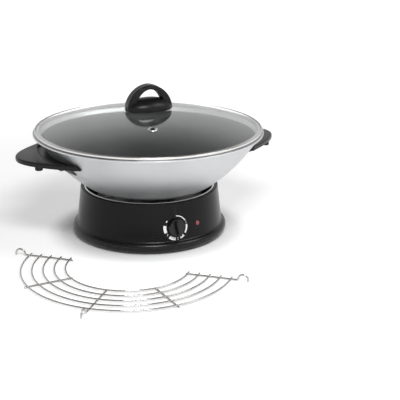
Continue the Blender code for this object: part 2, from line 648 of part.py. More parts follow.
def make_sensor(steel, spring_steel):
    """Guide cup in the reflector's floor, sprung cap, and the spring between them."""
    guide_top = REFLECTOR_FLOOR_TOP + SENSOR_GUIDE_RISE
    bore = SENSOR_GUIDE_RADIUS - SENSOR_GUIDE_WALL
    flange_z = REFLECTOR_FLOOR_TOP + FIT
    turned("sensor_guide",
           [(0, SENSOR_GUIDE_FLOOR), (SENSOR_GUIDE_RADIUS, SENSOR_GUIDE_FLOOR),
            (SENSOR_GUIDE_RADIUS, flange_z),
            (SENSOR_GUIDE_RADIUS + SENSOR_FLANGE_WIDTH, flange_z),
            (SENSOR_GUIDE_RADIUS + SENSOR_FLANGE_WIDTH, flange_z + SENSOR_FLANGE_THICKNESS),
            (SENSOR_GUIDE_RADIUS, flange_z + SENSOR_FLANGE_THICKNESS),
            (SENSOR_GUIDE_RADIUS, guide_top), (bore, guide_top),
            (bore, SENSOR_GUIDE_FLOOR + SENSOR_GUIDE_WALL),
            (0, SENSOR_GUIDE_FLOOR + SENSOR_GUIDE_WALL)], STEPS_SMALL, steel)
    cap_inside = SENSOR_CAP_RADIUS - SENSOR_CAP_WALL
    turned("sensor_cap",
           [(0, SENSOR_TOP - SENSOR_CAP_TOP), (cap_inside, SENSOR_TOP - SENSOR_CAP_TOP),
            (cap_inside, SENSOR_TOP - SENSOR_CAP_SKIRT),
            (SENSOR_CAP_RADIUS, SENSOR_TOP - SENSOR_CAP_SKIRT), (SENSOR_CAP_RADIUS, SENSOR_TOP),
            (0, SENSOR_TOP)], STEPS_SMALL, steel)
    low = SENSOR_GUIDE_FLOOR + SENSOR_GUIDE_WALL + FIT + SPRING_WIRE_RADIUS
    high = SENSOR_TOP - SENSOR_CAP_TOP - FIT - SPRING_WIRE_RADIUS
    per_turn = 9
    count = SPRING_TURNS * per_turn
    coil = []
    for step in range(count + 1):
        angle = math.tau * step / per_turn
        coil.append(Vector((SPRING_MEAN_RADIUS * math.cos(angle), SPRING_MEAN_RADIUS * math.sin(angle),
                            low + (high - low) * step / count)))
    spacing = (high - low) / SPRING_TURNS - 2 * SPRING_WIRE_RADIUS
    print(f"sensor_spring: least gap between its curls {spacing * 1000:.2f} mm")
    tube("sensor_spring", coil, SPRING_WIRE_RADIUS, 1, spring_steel)


def make_ties(steel):
    """Three long screws from the bottom cover up to nuts under the reflector."""
    head_low = TIE_HEAD_RECESS - TIE_HEAD_HEIGHT - FIT
    nut_top = REFLECTOR_FLOOR_HEIGHT - FIT
    nut_low = nut_top - TIE_NUT_HEIGHT
    for number in range(TIE_COUNT):
        place = at_angle(TIE_RING_RADIUS, TIE_START_ANGLE + math.tau * number / TIE_COUNT, 0)
        screw = turned(f"tie_screw_{number + 1}",
                       [(0, head_low), (TIE_HEAD_RADIUS, head_low),
                        (TIE_HEAD_RADIUS, head_low + TIE_HEAD_HEIGHT),
                        (TIE_SHANK_RADIUS, head_low + TIE_HEAD_HEIGHT),
                        (TIE_SHANK_RADIUS, nut_top - FIT), (0, nut_top - FIT)], STEPS_TINY, steel)
        screw.location = place
        nut = hexagon_nut(f"tie_nut_{number + 1}", TIE_SHANK_RADIUS + FIT, TIE_NUT_RADIUS, nut_low,
                          nut_top, steel)
        nut.location = place


# Controls on the wall of the base

def make_sockets():
    """Frames on the wall for the dial, the lamp and the gland."""
    for name, height, angle in (("dial_axis", DIAL_HEIGHT, 0), ("lamp_axis", LAMP_HEIGHT, LAMP_ANGLE),
                                ("gland_axis", GLAND_HEIGHT, GLAND_ANGLE)):
        socket(name, at_angle(shell_radius(height), angle, height), WALL_LEAN, angle)
    bpy.context.view_layer.update()


def sag(radius, half_width):
    """How far a round wall falls away from its tangent at a distance."""
    return radius - math.sqrt(radius ** 2 - half_width ** 2)


def make_thermostat(black, brass, steel):
    """Thermostat behind the wall, its nut, and the shaft that the dial turns."""
    frame = bpy.data.objects["dial_axis"]
    half = THERMOSTAT_WIDTH / 2
    front = -SHELL_WALL - sag(shell_radius(DIAL_HEIGHT) - SHELL_WALL, half) - 2 * FIT
    bore = SHAFT_RADIUS + FIT
    bush = bore + BUSH_WALL
    body = block("thermostat_body", (-half, -THERMOSTAT_HEIGHT / 2, front - THERMOSTAT_DEPTH),
                 (half, THERMOSTAT_HEIGHT / 2, front), black, frame)
    neck = cylinder("thermostat_neck", bush, front - OVERRUN, BUSH_REACH, STEPS_SMALL, parent=frame)
    combine(body, neck, "UNION")
    for side in (-1, 1):
        tab_x = side * THERMOSTAT_WIDTH / 4
        tab = block(f"thermostat_tab_{side}",
                    (tab_x - THERMOSTAT_TAB_WIDTH / 2, -CLIP_SHEET / 2,
                     front - THERMOSTAT_DEPTH - THERMOSTAT_TAB_LENGTH),
                    (tab_x + THERMOSTAT_TAB_WIDTH / 2, CLIP_SHEET / 2,
                     front - THERMOSTAT_DEPTH + OVERRUN), parent=frame)
        combine(body, tab, "UNION")
    drill = cylinder("thermostat_bore", bore, front - SHAFT_TAIL - FIT, BUSH_REACH + OVERRUN,
                     STEPS_SMALL, parent=frame)
    combine(body, drill, "DIFFERENCE")
    nut_low = 2 * FIT
    hexagon_nut("thermostat_nut", bush + FIT, NUT_RADIUS, nut_low, nut_low + NUT_HEIGHT, brass, frame)
    cylinder("thermostat_shaft", SHAFT_RADIUS, front - SHAFT_TAIL, SHAFT_REACH, STEPS_SMALL, steel,
             frame)


def make_dial(material):
    """The dial: a round disc with a raised bar to hold, hollow behind for the nut."""
    frame = bpy.data.objects["dial_axis"]
    low = DIAL_STANDOFF
    top = low + DIAL_DISC_THICKNESS
    recess = max(NUT_HEIGHT, BUSH_REACH) + 4 * FIT
    recess_radius = max(DIAL_RECESS_RADIUS, NUT_RADIUS + 2 * FIT)
    dial = turned("dial_knob",
                  [(0, recess), (recess_radius, recess), (recess_radius, low), (DIAL_RADIUS, low),
                   (DIAL_RADIUS, top - DIAL_CHAMFER), (DIAL_RADIUS - DIAL_CHAMFER, top), (0, top)],
                  STEPS_SMALL * 2, material, frame)
    half_width = DIAL_GRIP_WIDTH / 2
    half_length = DIAL_GRIP_LENGTH / 2
    crown = top + DIAL_GRIP_HEIGHT
    outline = [(-half_width, top - DIAL_CHAMFER), (half_width, top - DIAL_CHAMFER),
               (half_width - DIAL_CHAMFER, crown - DIAL_CHAMFER),
               (half_width - 2 * DIAL_CHAMFER, crown), (-half_width + 2 * DIAL_CHAMFER, crown),
               (-half_width + DIAL_CHAMFER, crown - DIAL_CHAMFER)]
    grip = extruded("dial_grip", outline, lambda x, z: (x, -half_length, z),
                    lambda x, z: (x, half_length, z), parent=frame)
    combine(dial, grip, "UNION")
    bore = cylinder("dial_bore", SHAFT_RADIUS + FIT, recess - OVERRUN, SHAFT_REACH + FIT,
                    STEPS_SMALL, parent=frame)
    combine(dial, bore, "DIFFERENCE")
    for thing in (dial, grip, bore):
        thing.rotation_euler.z = DIAL_REST_ANGLE


def make_lamp(red, black):
    """Red lens in the wall, with the holder of its lamp behind."""
    frame = bpy.data.objects["lamp_axis"]
    tail = -SHELL_WALL - LAMP_STEM
    crown_share = 0.6
    turned("lamp_lens", [(0, tail), (LAMP_LENS_RADIUS, tail), (LAMP_LENS_RADIUS, LAMP_LENS_PROUD / 2),
                         (LAMP_LENS_RADIUS * crown_share, LAMP_LENS_PROUD), (0, LAMP_LENS_PROUD)],
           STEPS_SMALL, red, frame)
    cup = LAMP_LENS_RADIUS + FIT
    outside = cup + LAMP_HOLDER_WALL
    front = -SHELL_WALL - sag(shell_radius(LAMP_HEIGHT) - SHELL_WALL, outside) - FIT
    turned("lamp_holder", [(0, front - LAMP_HOLDER_LENGTH), (outside, front - LAMP_HOLDER_LENGTH),
                           (outside, front), (cup, front), (cup, tail - FIT), (0, tail - FIT)],
           STEPS_SMALL, black, frame)


def make_gland(material):
    """Bush at the back, where the mains lead would enter."""
    frame = bpy.data.objects["gland_axis"]
    inner = -SHELL_WALL - GLAND_TAIL
    seat = 2 * FIT
    turned("cord_gland", [(GLAND_BORE_RADIUS, inner), (GLAND_BODY_RADIUS, inner),
                          (GLAND_BODY_RADIUS, seat), (GLAND_FLANGE_RADIUS, seat),
                          (GLAND_FLANGE_RADIUS, seat + GLAND_PROUD / 2),
                          (GLAND_BODY_RADIUS, seat + GLAND_PROUD),
                          (GLAND_BORE_RADIUS, seat + GLAND_PROUD)], STEPS_SMALL, material, frame)


# Wiring inside the base

def block_front():
    """The front face of the terminal block, where the leads plug in."""
    return BLOCK_BACK - BLOCK_WIDTH / 2


def make_terminal_block(material):
    """Three-way block on the bottom cover."""
    low = COVER_THICKNESS + FIT
    body = block("terminal_block", (-BLOCK_LENGTH / 2, block_front(), low),
                 (BLOCK_LENGTH / 2, block_front() + BLOCK_WIDTH, low + BLOCK_HEIGHT), material)
    for number in (-1, 0, 1):
        bore = cylinder(f"block_bore_{number}", BLOCK_BORE_RADIUS, -OVERRUN - BLOCK_WIDTH / 2,
                        OVERRUN + BLOCK_WIDTH / 2, STEPS_TINY)
        bore.rotation_euler.x = math.radians(90)
        bore.location = (number * BLOCK_BORE_SPACING, BLOCK_BACK, low + BLOCK_HEIGHT / 2)
        combine(body, bore, "DIFFERENCE")


def make_fuse(material):
    """Thermal fuse against the underside of the reflector, along Y."""
    round_end = FUSE_RADIUS / 2
    half = FUSE_LENGTH / 2
    fuse = turned("thermal_fuse", [(0, -half), (round_end, -half), (FUSE_RADIUS, -half + round_end),
                                   (FUSE_RADIUS, half - round_end), (round_end, half), (0, half)],
                  STEPS_TINY, material)
    fuse.rotation_euler.x = math.radians(90)
    fuse.location = (-FUSE_LEFT, FUSE_BACK, REFLECTOR_FLOOR_HEIGHT - FIT - FUSE_RADIUS)


def make_leads(red, blue):
    """Five insulated wires: block, thermostat, fuse, element and lamp, one after the other."""
    level = COVER_THICKNESS + FIT + BLOCK_HEIGHT / 2
    floor = COVER_THICKNESS + 6 * LEAD_RADIUS
    entry = block_front() - LEAD_RADIUS
    legs = leg_places()
    leg_end = REFLECTOR_FLOOR_HEIGHT - ELEMENT_LEG_DROP - FIT
    fuse_z = REFLECTOR_FLOOR_HEIGHT - FIT - FUSE_RADIUS
    dial = bpy.data.objects["dial_axis"].matrix_world
    lamp = bpy.data.objects["lamp_axis"].matrix_world
    body_back = (-SHELL_WALL - sag(shell_radius(DIAL_HEIGHT) - SHELL_WALL, THERMOSTAT_WIDTH / 2)
                 - 2 * FIT - THERMOSTAT_DEPTH)
    tab_end = body_back - THERMOSTAT_TAB_LENGTH - FIT
    holder_end = (-SHELL_WALL - sag(shell_radius(LAMP_HEIGHT) - SHELL_WALL,
                                    LAMP_LENS_RADIUS + FIT + LAMP_HOLDER_WALL)
                  - FIT - LAMP_HOLDER_LENGTH - FIT)
    left_tab = dial @ Vector((-THERMOSTAT_WIDTH / 4, 0, tab_end))
    right_tab = dial @ Vector((THERMOSTAT_WIDTH / 4, 0, tab_end))
    lamp_end = lamp @ Vector((0, 0, holder_end))
    inward = Vector((0, BLOCK_WIDTH, 0))
    sideways = Vector((BLOCK_BORE_SPACING, 0, 0))
    routes = {
        "lead_block_to_thermostat": (
            (BLOCK_BORE_SPACING, entry, level),
            (BLOCK_BORE_SPACING, entry - BLOCK_WIDTH, level),
            (ELEMENT_RING_RADIUS / 2, 0, floor),
            right_tab + 2 * inward,
            right_tab + inward / 2,
            right_tab),
        "lead_thermostat_to_fuse": (
            left_tab,
            left_tab + inward / 2,
            (-FUSE_LEFT - BLOCK_BORE_SPACING / 2, -ELEMENT_RING_RADIUS / 2, (left_tab.z + fuse_z) / 2),
            (-FUSE_LEFT, FUSE_BACK - FUSE_LENGTH, fuse_z),
            (-FUSE_LEFT, FUSE_BACK - FUSE_LENGTH / 2 - FIT, fuse_z)),
        "lead_fuse_to_element": (
            (-FUSE_LEFT, FUSE_BACK + FUSE_LENGTH / 2 + FIT, fuse_z),
            (-FUSE_LEFT, FUSE_BACK + FUSE_LENGTH, fuse_z - LEAD_RADIUS),
            (-FUSE_LEFT / 2, legs[0].y, leg_end - 2 * BLOCK_BORE_SPACING),
            (legs[0].x, legs[0].y, leg_end - BLOCK_BORE_SPACING),
            (legs[0].x, legs[0].y, leg_end)),
        "lead_element_to_block": (
            (legs[1].x, legs[1].y, leg_end),
            (legs[1].x, legs[1].y, leg_end - BLOCK_BORE_SPACING / 2),
            (BLOCK_BORE_SPACING / 2, legs[1].y - BLOCK_BORE_SPACING / 2, level + BLOCK_BORE_SPACING / 2),
            (0, entry - BLOCK_BORE_SPACING, level),
            (0, entry, level)),
        "lead_block_to_lamp": (
            (-BLOCK_BORE_SPACING, entry, level),
            (-BLOCK_BORE_SPACING, entry - BLOCK_WIDTH / 2, level),
            (-BLOCK_BORE_SPACING, ELEMENT_RING_RADIUS / 2, floor),
            Vector((BLOCK_BORE_SPACING, -ELEMENT_RING_RADIUS / 2, floor)),
            lamp_end + 2 * inward - sideways,
            lamp_end + inward / 2 - sideways / 4,
            lamp_end)}
    for number, (name, route) in enumerate(routes.items()):
        tube(name, rounded_route(route, 2), LEAD_RADIUS, 1, (red, blue)[number % 2])


# Bowl

def make_pan(material):
    """The bowl: curved wall, flat floor, and a thick rolled rim."""
    centre, radius = pan_curve()
    inner = radius - PAN_WALL
    steps = 8
    outside = arc(centre, (radius, radius), math.atan2(PAN_RIM_BOTTOM - centre.y,
                                                       PAN_RIM_RADIUS - PAN_RIM_WIDTH - centre.x),
                  math.atan2(PAN_Z - centre.y, PAN_FLOOR_RADIUS - centre.x), steps)
    rim_inside = pan_radius(PAN_RIM_TOP, PAN_WALL)
    floor_inside = pan_radius(PAN_FLOOR_TOP, PAN_WALL)
    inside = arc(centre, (inner, inner), math.atan2(PAN_FLOOR_TOP - centre.y, floor_inside - centre.x),
                 math.atan2(PAN_RIM_TOP - centre.y, rim_inside - centre.x), steps)
    profile = [(PAN_RIM_RADIUS - PAN_RIM_ROUND, PAN_RIM_TOP),
               (PAN_RIM_RADIUS, PAN_RIM_TOP - PAN_RIM_ROUND),
               (PAN_RIM_RADIUS, PAN_RIM_BOTTOM + PAN_RIM_ROUND),
               (PAN_RIM_RADIUS - PAN_RIM_ROUND, PAN_RIM_BOTTOM)]
    profile += outside
    profile = [(0, PAN_Z)] + profile[::-1] + inside[::-1] + [(0, PAN_FLOOR_TOP)]
    turned("pan", profile, STEPS_LARGE, material)


def make_spreader(material):
    """Thick disc under the bowl's floor, which stands on the element."""
    high = PLATE_Z + PLATE_THICKNESS
    turned("pan_spreader", [(0, PLATE_Z), (PLATE_RADIUS - PLATE_CHAMFER, PLATE_Z),
                            (PLATE_RADIUS, PLATE_Z + PLATE_CHAMFER), (PLATE_RADIUS, high), (0, high)],
           STEPS_WELL, material)


def handle_outline(along):
    """How far the handle reaches from the bowl's axis, at a distance along its span."""
    tip = wall_offset(HANDLE_HALF_SPAN, HANDLE_TOP) + HANDLE_TIP_THICKNESS
    crest = PAN_RIM_RADIUS + HANDLE_REACH
    share = abs(along) / HANDLE_HALF_SPAN
    return tip + (crest - tip) * math.cos(math.radians(90) * share) ** HANDLE_OUTLINE_POWER


def wall_offset(along, height):
    """Distance along X from the axis plane to the bowl's wall, with the gap, at a place on the span."""
    reach = pan_radius(height) + HANDLE_WALL_GAP
    return math.sqrt(reach ** 2 - along ** 2)


def handle_section(along):
    """The handle's section at a distance along its span, as (reach, height) points."""
    outer = handle_outline(along)
    recess = HANDLE_TOP - HANDLE_RECESS_DEPTH
    root = wall_offset(along, recess)
    room = outer - root
    step = root + min(HANDLE_RECESS_WIDTH, room * HANDLE_RECESS_SHARE)
    slope = min(HANDLE_RECESS_SLOPE, room / 6)
    rounding = min(HANDLE_EDGE_ROUND, room / 4)
    fade_share = (HANDLE_HALF_SPAN - abs(along)) / (HANDLE_HALF_SPAN - BRACKET_HALF_SPAN
                                                    - HANDLE_ROOT_DEPTH)
    low = HANDLE_BOTTOM - HANDLE_ROOT_DEPTH * min(1, TIP_DEPTH_SHARE + fade_share)
    pad = wall_offset(along, low) + min(BRACKET_TAB, room / 2)
    return [(root, recess), (step, recess), (step + slope, HANDLE_TOP - rounding / 3),
            (outer - rounding, HANDLE_TOP), (outer, HANDLE_TOP - rounding),
            (outer, HANDLE_BOTTOM + rounding), (outer - rounding, HANDLE_BOTTOM),
            (pad + slope, HANDLE_BOTTOM), (pad, low), (wall_offset(along, low), low)]


def screw_places():
    """Where each handle's two screws stand, for the handle at +X."""
    places = []
    for side in (-1, 1):
        along = side * HANDLE_SCREW_OFFSET
        places.append(Vector((wall_offset(along, HANDLE_ROOT_BOTTOM) + BRACKET_TAB / 2, along)))
    return places


def make_handle(name, turn, material):
    """One wing, made at +X and turned to its side, with screw holes and a boss under its edge."""
    steps = 16
    sections = []
    for step in range(steps + 1):
        along = HANDLE_HALF_SPAN * math.sin(math.radians(90) * (2 * step / steps - 1))
        sections.append([Vector((reach, along, height)) for reach, height in handle_section(along)])
    handle = lofted(name, sections, material)
    handle.rotation_euler.z = turn
    for number, side in enumerate((-1, 1)):
        boss = cylinder(f"{name}_boss_{number + 1}", HANDLE_BOSS_RADIUS,
                        HANDLE_BOTTOM - HANDLE_BOSS_DROP, HANDLE_TOP - HANDLE_EDGE_THICKNESS / 2,
                        STEPS_TINY)
        spot = Vector((PAN_RIM_RADIUS + HANDLE_REACH - HANDLE_BOSS_INSET, side * HANDLE_BOSS_OFFSET, 0))
        boss.location = Matrix.Rotation(turn, 3, "Z") @ spot
        combine(handle, boss, "UNION")
    for number, place in enumerate(screw_places()):
        low = HANDLE_ROOT_BOTTOM - OVERRUN
        hole = cylinder(f"{name}_bore_{number + 1}", HANDLE_SCREW_RADIUS + FIT, low,
                        HANDLE_ROOT_BOTTOM + HANDLE_SCREW_DEPTH, STEPS_TINY)
        hole.location = Matrix.Rotation(turn, 3, "Z") @ place.to_3d()
        combine(handle, hole, "DIFFERENCE")


def make_bracket(name, turn, material):
    """Bent plate on the bowl's wall whose tab lies under the handle."""
    tab_top = HANDLE_ROOT_BOTTOM - FIT
    tab_low = tab_top - BRACKET_SHEET
    leg_low = tab_low - BRACKET_LEG
    steps = 12
    sections = []
    for step in range(steps + 1):
        along = BRACKET_HALF_SPAN * (2 * step / steps - 1)
        section = [(wall_offset(along, leg_low), leg_low),
                   (wall_offset(along, leg_low) + BRACKET_SHEET, leg_low),
                   (wall_offset(along, tab_low) + BRACKET_SHEET, tab_low),
                   (wall_offset(along, tab_low) + BRACKET_TAB, tab_low),
                   (wall_offset(along, tab_low) + BRACKET_TAB, tab_top),
                   (wall_offset(along, tab_top), tab_top), (wall_offset(along, tab_low), tab_low)]
        sections.append([Vector((reach, along, height)) for reach, height in section])
    bracket = lofted(name, sections, material)
    bracket.rotation_euler.z = turn
    for number, place in enumerate(screw_places()):
        hole = cylinder(f"{name}_hole_{number + 1}", HANDLE_SCREW_RADIUS + FIT, tab_low - OVERRUN,
                        tab_top + OVERRUN, STEPS_TINY)
        hole.location = Matrix.Rotation(turn, 3, "Z") @ place.to_3d()
        combine(bracket, hole, "DIFFERENCE")


def make_handle_screws(side, turn, material):
    """Pan-head screws, up through the bracket's tab into the handle."""
    head_top = HANDLE_ROOT_BOTTOM - FIT - BRACKET_SHEET - FIT
    head_low = head_top - HANDLE_SCREW_HEAD_HEIGHT
    tip = HANDLE_ROOT_BOTTOM + HANDLE_SCREW_DEPTH - FIT
    crown = HANDLE_SCREW_HEAD_RADIUS * SCREW_CROWN_SHARE
    for number, place in enumerate(screw_places()):
        screw = turned(f"handle_screw_{side}_{number + 1}",
                       [(0, head_low), (crown, head_low),
                        (HANDLE_SCREW_HEAD_RADIUS, head_low + HANDLE_SCREW_HEAD_HEIGHT / 2),
                        (HANDLE_SCREW_HEAD_RADIUS, head_top), (HANDLE_SCREW_RADIUS, head_top),
                        (HANDLE_SCREW_RADIUS, tip), (0, tip)], STEPS_TINY, material)
        screw.location = Matrix.Rotation(turn, 3, "Z") @ place.to_3d()


# Lid

def make_glass(material):
    """The clear dome, with a hole for the knob's screw and one for the vent."""
    steps = 5
    hole = KNOB_SCREW_RADIUS + 2 * FIT
    radii = [hole + (GLASS_EDGE_RADIUS - hole) * step / steps for step in range(steps + 1)]
    upper = [(radius, glass_height(radius)) for radius in radii]
    lower = [(radius, glass_height(radius) - GLASS_THICKNESS) for radius in radii]
    glass = turned("lid_glass", upper + lower[::-1], STEPS_LARGE, material)
    drill = cylinder("vent_hole", EYELET_BORE_RADIUS + EYELET_WALL + FIT,
                     -GLASS_THICKNESS - OVERRUN, OVERRUN, STEPS_SMALL,
                     parent=bpy.data.objects["eyelet_axis"])
    combine(glass, drill, "DIFFERENCE")


def make_band(material):
    """Steel band folded round the glass's edge, with a short skirt that centres the lid."""
    radius = LID_RADIUS
    groove = radius - BAND_SHEET
    lip = radius - BAND_LIP
    skirt_low = BAND_Z - BAND_SKIRT
    skirt = pan_radius(skirt_low, PAN_WALL) - LID_PLAY
    skirt_inside = skirt - BAND_SHEET
    over_edge = glass_height(GLASS_EDGE_RADIUS) + FIT
    profile = [(radius, BAND_Z), (radius, over_edge), (radius - BAND_SHEET, over_edge + BAND_SHEET),
               (lip, glass_height(lip) + FIT + BAND_SHEET), (lip, glass_height(lip) + FIT),
               (groove, over_edge),
               (groove, glass_height(GLASS_EDGE_RADIUS) - GLASS_THICKNESS - FIT),
               (skirt_inside, glass_height(skirt_inside) - GLASS_THICKNESS - FIT),
               (skirt_inside, skirt_low), (skirt, skirt_low), (skirt, BAND_Z)]
    turned("lid_band", profile, STEPS_LARGE, material)


def make_eyelet_axis():
    """Frame on the glass whose Z axis is square to it, for the vent."""
    lean = math.asin(VENT_EYELET_OFFSET / GLASS_CURVE_RADIUS)
    frame = bpy.data.objects.new("eyelet_axis", None)
    frame.location = at_angle(VENT_EYELET_OFFSET, EYELET_ANGLE, glass_height(VENT_EYELET_OFFSET))
    frame.rotation_euler = (lean, 0, EYELET_ANGLE)
    bpy.context.collection.objects.link(frame)
    bpy.context.view_layer.update()


def make_eyelet(material):
    """Steam vent: a flanged tube clinched through the glass."""
    low = -GLASS_THICKNESS - 2 * FIT
    outside = EYELET_BORE_RADIUS + EYELET_WALL
    flange = EYELET_FLANGE_RADIUS
    turned("vent_eyelet",
           [(EYELET_BORE_RADIUS, low - EYELET_FLANGE_THICKNESS),
            ((outside + flange) / 2, low - EYELET_FLANGE_THICKNESS), ((outside + flange) / 2, low),
            (outside, low), (outside, FIT), (flange, FIT), (flange, FIT + EYELET_FLANGE_THICKNESS / 3),
            ((outside + flange) / 2, FIT + EYELET_FLANGE_THICKNESS),
            (outside, FIT + EYELET_FLANGE_THICKNESS), (EYELET_BORE_RADIUS, FIT)],
           STEPS_SMALL, material, bpy.data.objects["eyelet_axis"])


def make_knob(material):
    """Oval dome with an arch from end to end, moulded in one."""
    rows = 5
    around = 32
    inset = KNOB_EDGE_HEIGHT / 3
    levels = [(1 - inset / KNOB_HALF_WIDTH, 0), (1, inset), (1, KNOB_EDGE_HEIGHT)]
    for row in range(1, rows):
        angle = math.radians(90) * row / rows
        levels.append((math.cos(angle), KNOB_EDGE_HEIGHT
                       + (KNOB_DOME_HEIGHT - KNOB_EDGE_HEIGHT) * math.sin(angle)))
    sections = []
    for share, height in levels:
        ring = []
        for step in range(around):
            angle = math.tau * step / around
            ring.append(Vector((KNOB_HALF_LENGTH * share * math.cos(angle),
                                KNOB_HALF_WIDTH * share * math.sin(angle), KNOB_Z + height)))
        sections.append(ring)
    flat_share = 0.4
    shrink = math.cos(math.radians(90) * (rows - flat_share) / rows) / levels[-1][0]
    sections.append([Vector((point.x * shrink, point.y * shrink, KNOB_Z + KNOB_DOME_HEIGHT))
                     for point in sections[-1]])
    knob = lofted("knob", sections, material)
    combine(knob, make_arch(), "UNION")
    bore = cylinder("knob_bore", KNOB_SCREW_RADIUS + FIT, KNOB_Z - OVERRUN, KNOB_Z + KNOB_SCREW_DEPTH,
                    STEPS_TINY)
    combine(knob, bore, "DIFFERENCE")


def make_arch():
    """The knob's arch, a thick bent strip, as a shape to weld on: four-cornered sections with their
    outer edges chamfered, carried along half of a slightly pointed ellipse."""
    outer = (KNOB_HALF_LENGTH - KNOB_EDGE_HEIGHT / 3, KNOB_HEIGHT - KNOB_ARCH_SPRING)
    inner = (outer[0] - KNOB_ARCH_LEG, outer[1] - KNOB_ARCH_THICKNESS)
    half = KNOB_ARCH_WIDTH / 2
    sections = []
    steps = 20
    for step in range(steps + 1):
        along = math.cos(math.radians(180) * step / steps)
        up = (1 - abs(along) ** 2) ** (1 / KNOB_ARCH_POWER)
        along = math.copysign(abs(along) ** (2 / KNOB_ARCH_POWER), along)
        spring = KNOB_Z + KNOB_ARCH_SPRING
        far = Vector((outer[0] * along, 0, spring + outer[1] * up))
        near = Vector((inner[0] * along, 0, spring + inner[1] * up))
        inward = (near - far).normalized() * KNOB_ARCH_CHAMFER
        side = Vector((0, half, 0))
        edge = Vector((0, half - KNOB_ARCH_CHAMFER, 0))
        sections.append([near - side, far + inward - side, far - edge, far + edge,
                         far + inward + side, near + side])
    return lofted("knob_arch", sections)


def make_knob_fixing(rubber, steel):
    """Washer under the glass and the screw that holds the knob."""
    under = GLASS_APEX - GLASS_THICKNESS - FIT
    bore = KNOB_SCREW_RADIUS + FIT
    washer_low = under - KNOB_WASHER_THICKNESS
    drop = GLASS_APEX - glass_height(KNOB_WASHER_RADIUS)
    turned("knob_washer", [(bore, washer_low - drop), (KNOB_WASHER_RADIUS, washer_low - drop),
                           (KNOB_WASHER_RADIUS, under - drop), (bore, under - drop)],
           STEPS_SMALL, rubber)
    head_top = washer_low - drop - FIT
    head_low = head_top - KNOB_SCREW_HEAD_HEIGHT
    tip = KNOB_Z + KNOB_SCREW_DEPTH - FIT
    crown = KNOB_SCREW_HEAD_RADIUS * SCREW_CROWN_SHARE
    turned("knob_screw", [(0, head_low), (crown, head_low),
                          (KNOB_SCREW_HEAD_RADIUS, head_low + KNOB_SCREW_HEAD_HEIGHT / 2),
                          (KNOB_SCREW_HEAD_RADIUS, head_top), (KNOB_SCREW_RADIUS, head_top),
                          (KNOB_SCREW_RADIUS, tip), (0, tip)], STEPS_TINY, steel)


# Rack

def rack_point(reach, angle, height):
    """A place on the rack, from its middle; angle 0 is its direction."""
    turn = RACK_DIRECTION + angle
    middle = at_angle(SKIRT_RADIUS + RACK_GAP, RACK_PLACE_ANGLE, height)
    return middle + Vector((math.cos(turn), math.sin(turn), 0)) * reach


def make_rack(material):
    """Half-round draining rack: bent wires welded on radial bars, three of which end in hooks."""
    bar_z = TABLE_Z + RACK_BAR_RADIUS
    wire_z = bar_z + RACK_BAR_RADIUS + RACK_WIRE_RADIUS - RACK_WELD_SINK
    pieces = []
    hook_steps = 6
    for number, angle in enumerate(RACK_BAR_ANGLES):
        line = [(RACK_INNER_RADIUS - 2 * RACK_BAR_RADIUS, 0), (RACK_OUTER_RADIUS, 0)]
        if number in RACK_HOOKED_BARS:
            half = HOOK_WIDTH / 2
            middle = RACK_OUTER_RADIUS + HOOK_REACH + half
            line.append((middle - half - HOOK_RISE / 4, 0))
            line += arc((middle, HOOK_RISE / 4), (half, HOOK_RISE * 3 / 4), math.radians(180), 0,
                        hook_steps)
            line.append((middle + half, 0))
        else:
            line.append((RACK_OUTER_RADIUS + 2 * RACK_BAR_RADIUS, 0))
        points = [rack_point(reach, angle, bar_z + rise) for reach, rise in line]
        pieces.append(tube(f"rack_bar_{number + 1}", points, RACK_BAR_RADIUS, 1))
    arc_steps = 26
    for number in range(RACK_ARCS):
        reach = RACK_INNER_RADIUS + (RACK_OUTER_RADIUS - RACK_INNER_RADIUS) * number / (RACK_ARCS - 1)
        spare = RACK_WIRE_OVERHANG / reach
        start = RACK_BAR_ANGLES[0] - spare
        sweep = RACK_BAR_ANGLES[-1] + spare - start
        points = [rack_point(reach, start + sweep * step / arc_steps, wire_z)
                  for step in range(arc_steps + 1)]
        pieces.append(tube(f"rack_wire_{number + 1}", points, RACK_WIRE_RADIUS, 1))
    meshes = [as_mesh(piece) for piece in pieces]
    rack = meshes[0]
    rack.name = "rack"
    rack.data.materials.append(material)
    bar_count = len(RACK_BAR_ANGLES)
    for other in meshes[bar_count:] + meshes[1:bar_count]:
        combine(rack, other, "UNION")


def as_mesh(thing):
    """Swap a curve object for a mesh object of the same name and shape."""
    bpy.context.view_layer.update()
    shape = thing.evaluated_get(bpy.context.evaluated_depsgraph_get())
    mesh = bpy.data.meshes.new_from_object(shape)
    name = thing.name
    bpy.data.objects.remove(thing, do_unlink=True)
    solid = bpy.data.objects.new(name, mesh)
    bpy.context.collection.objects.link(solid)
    return solid


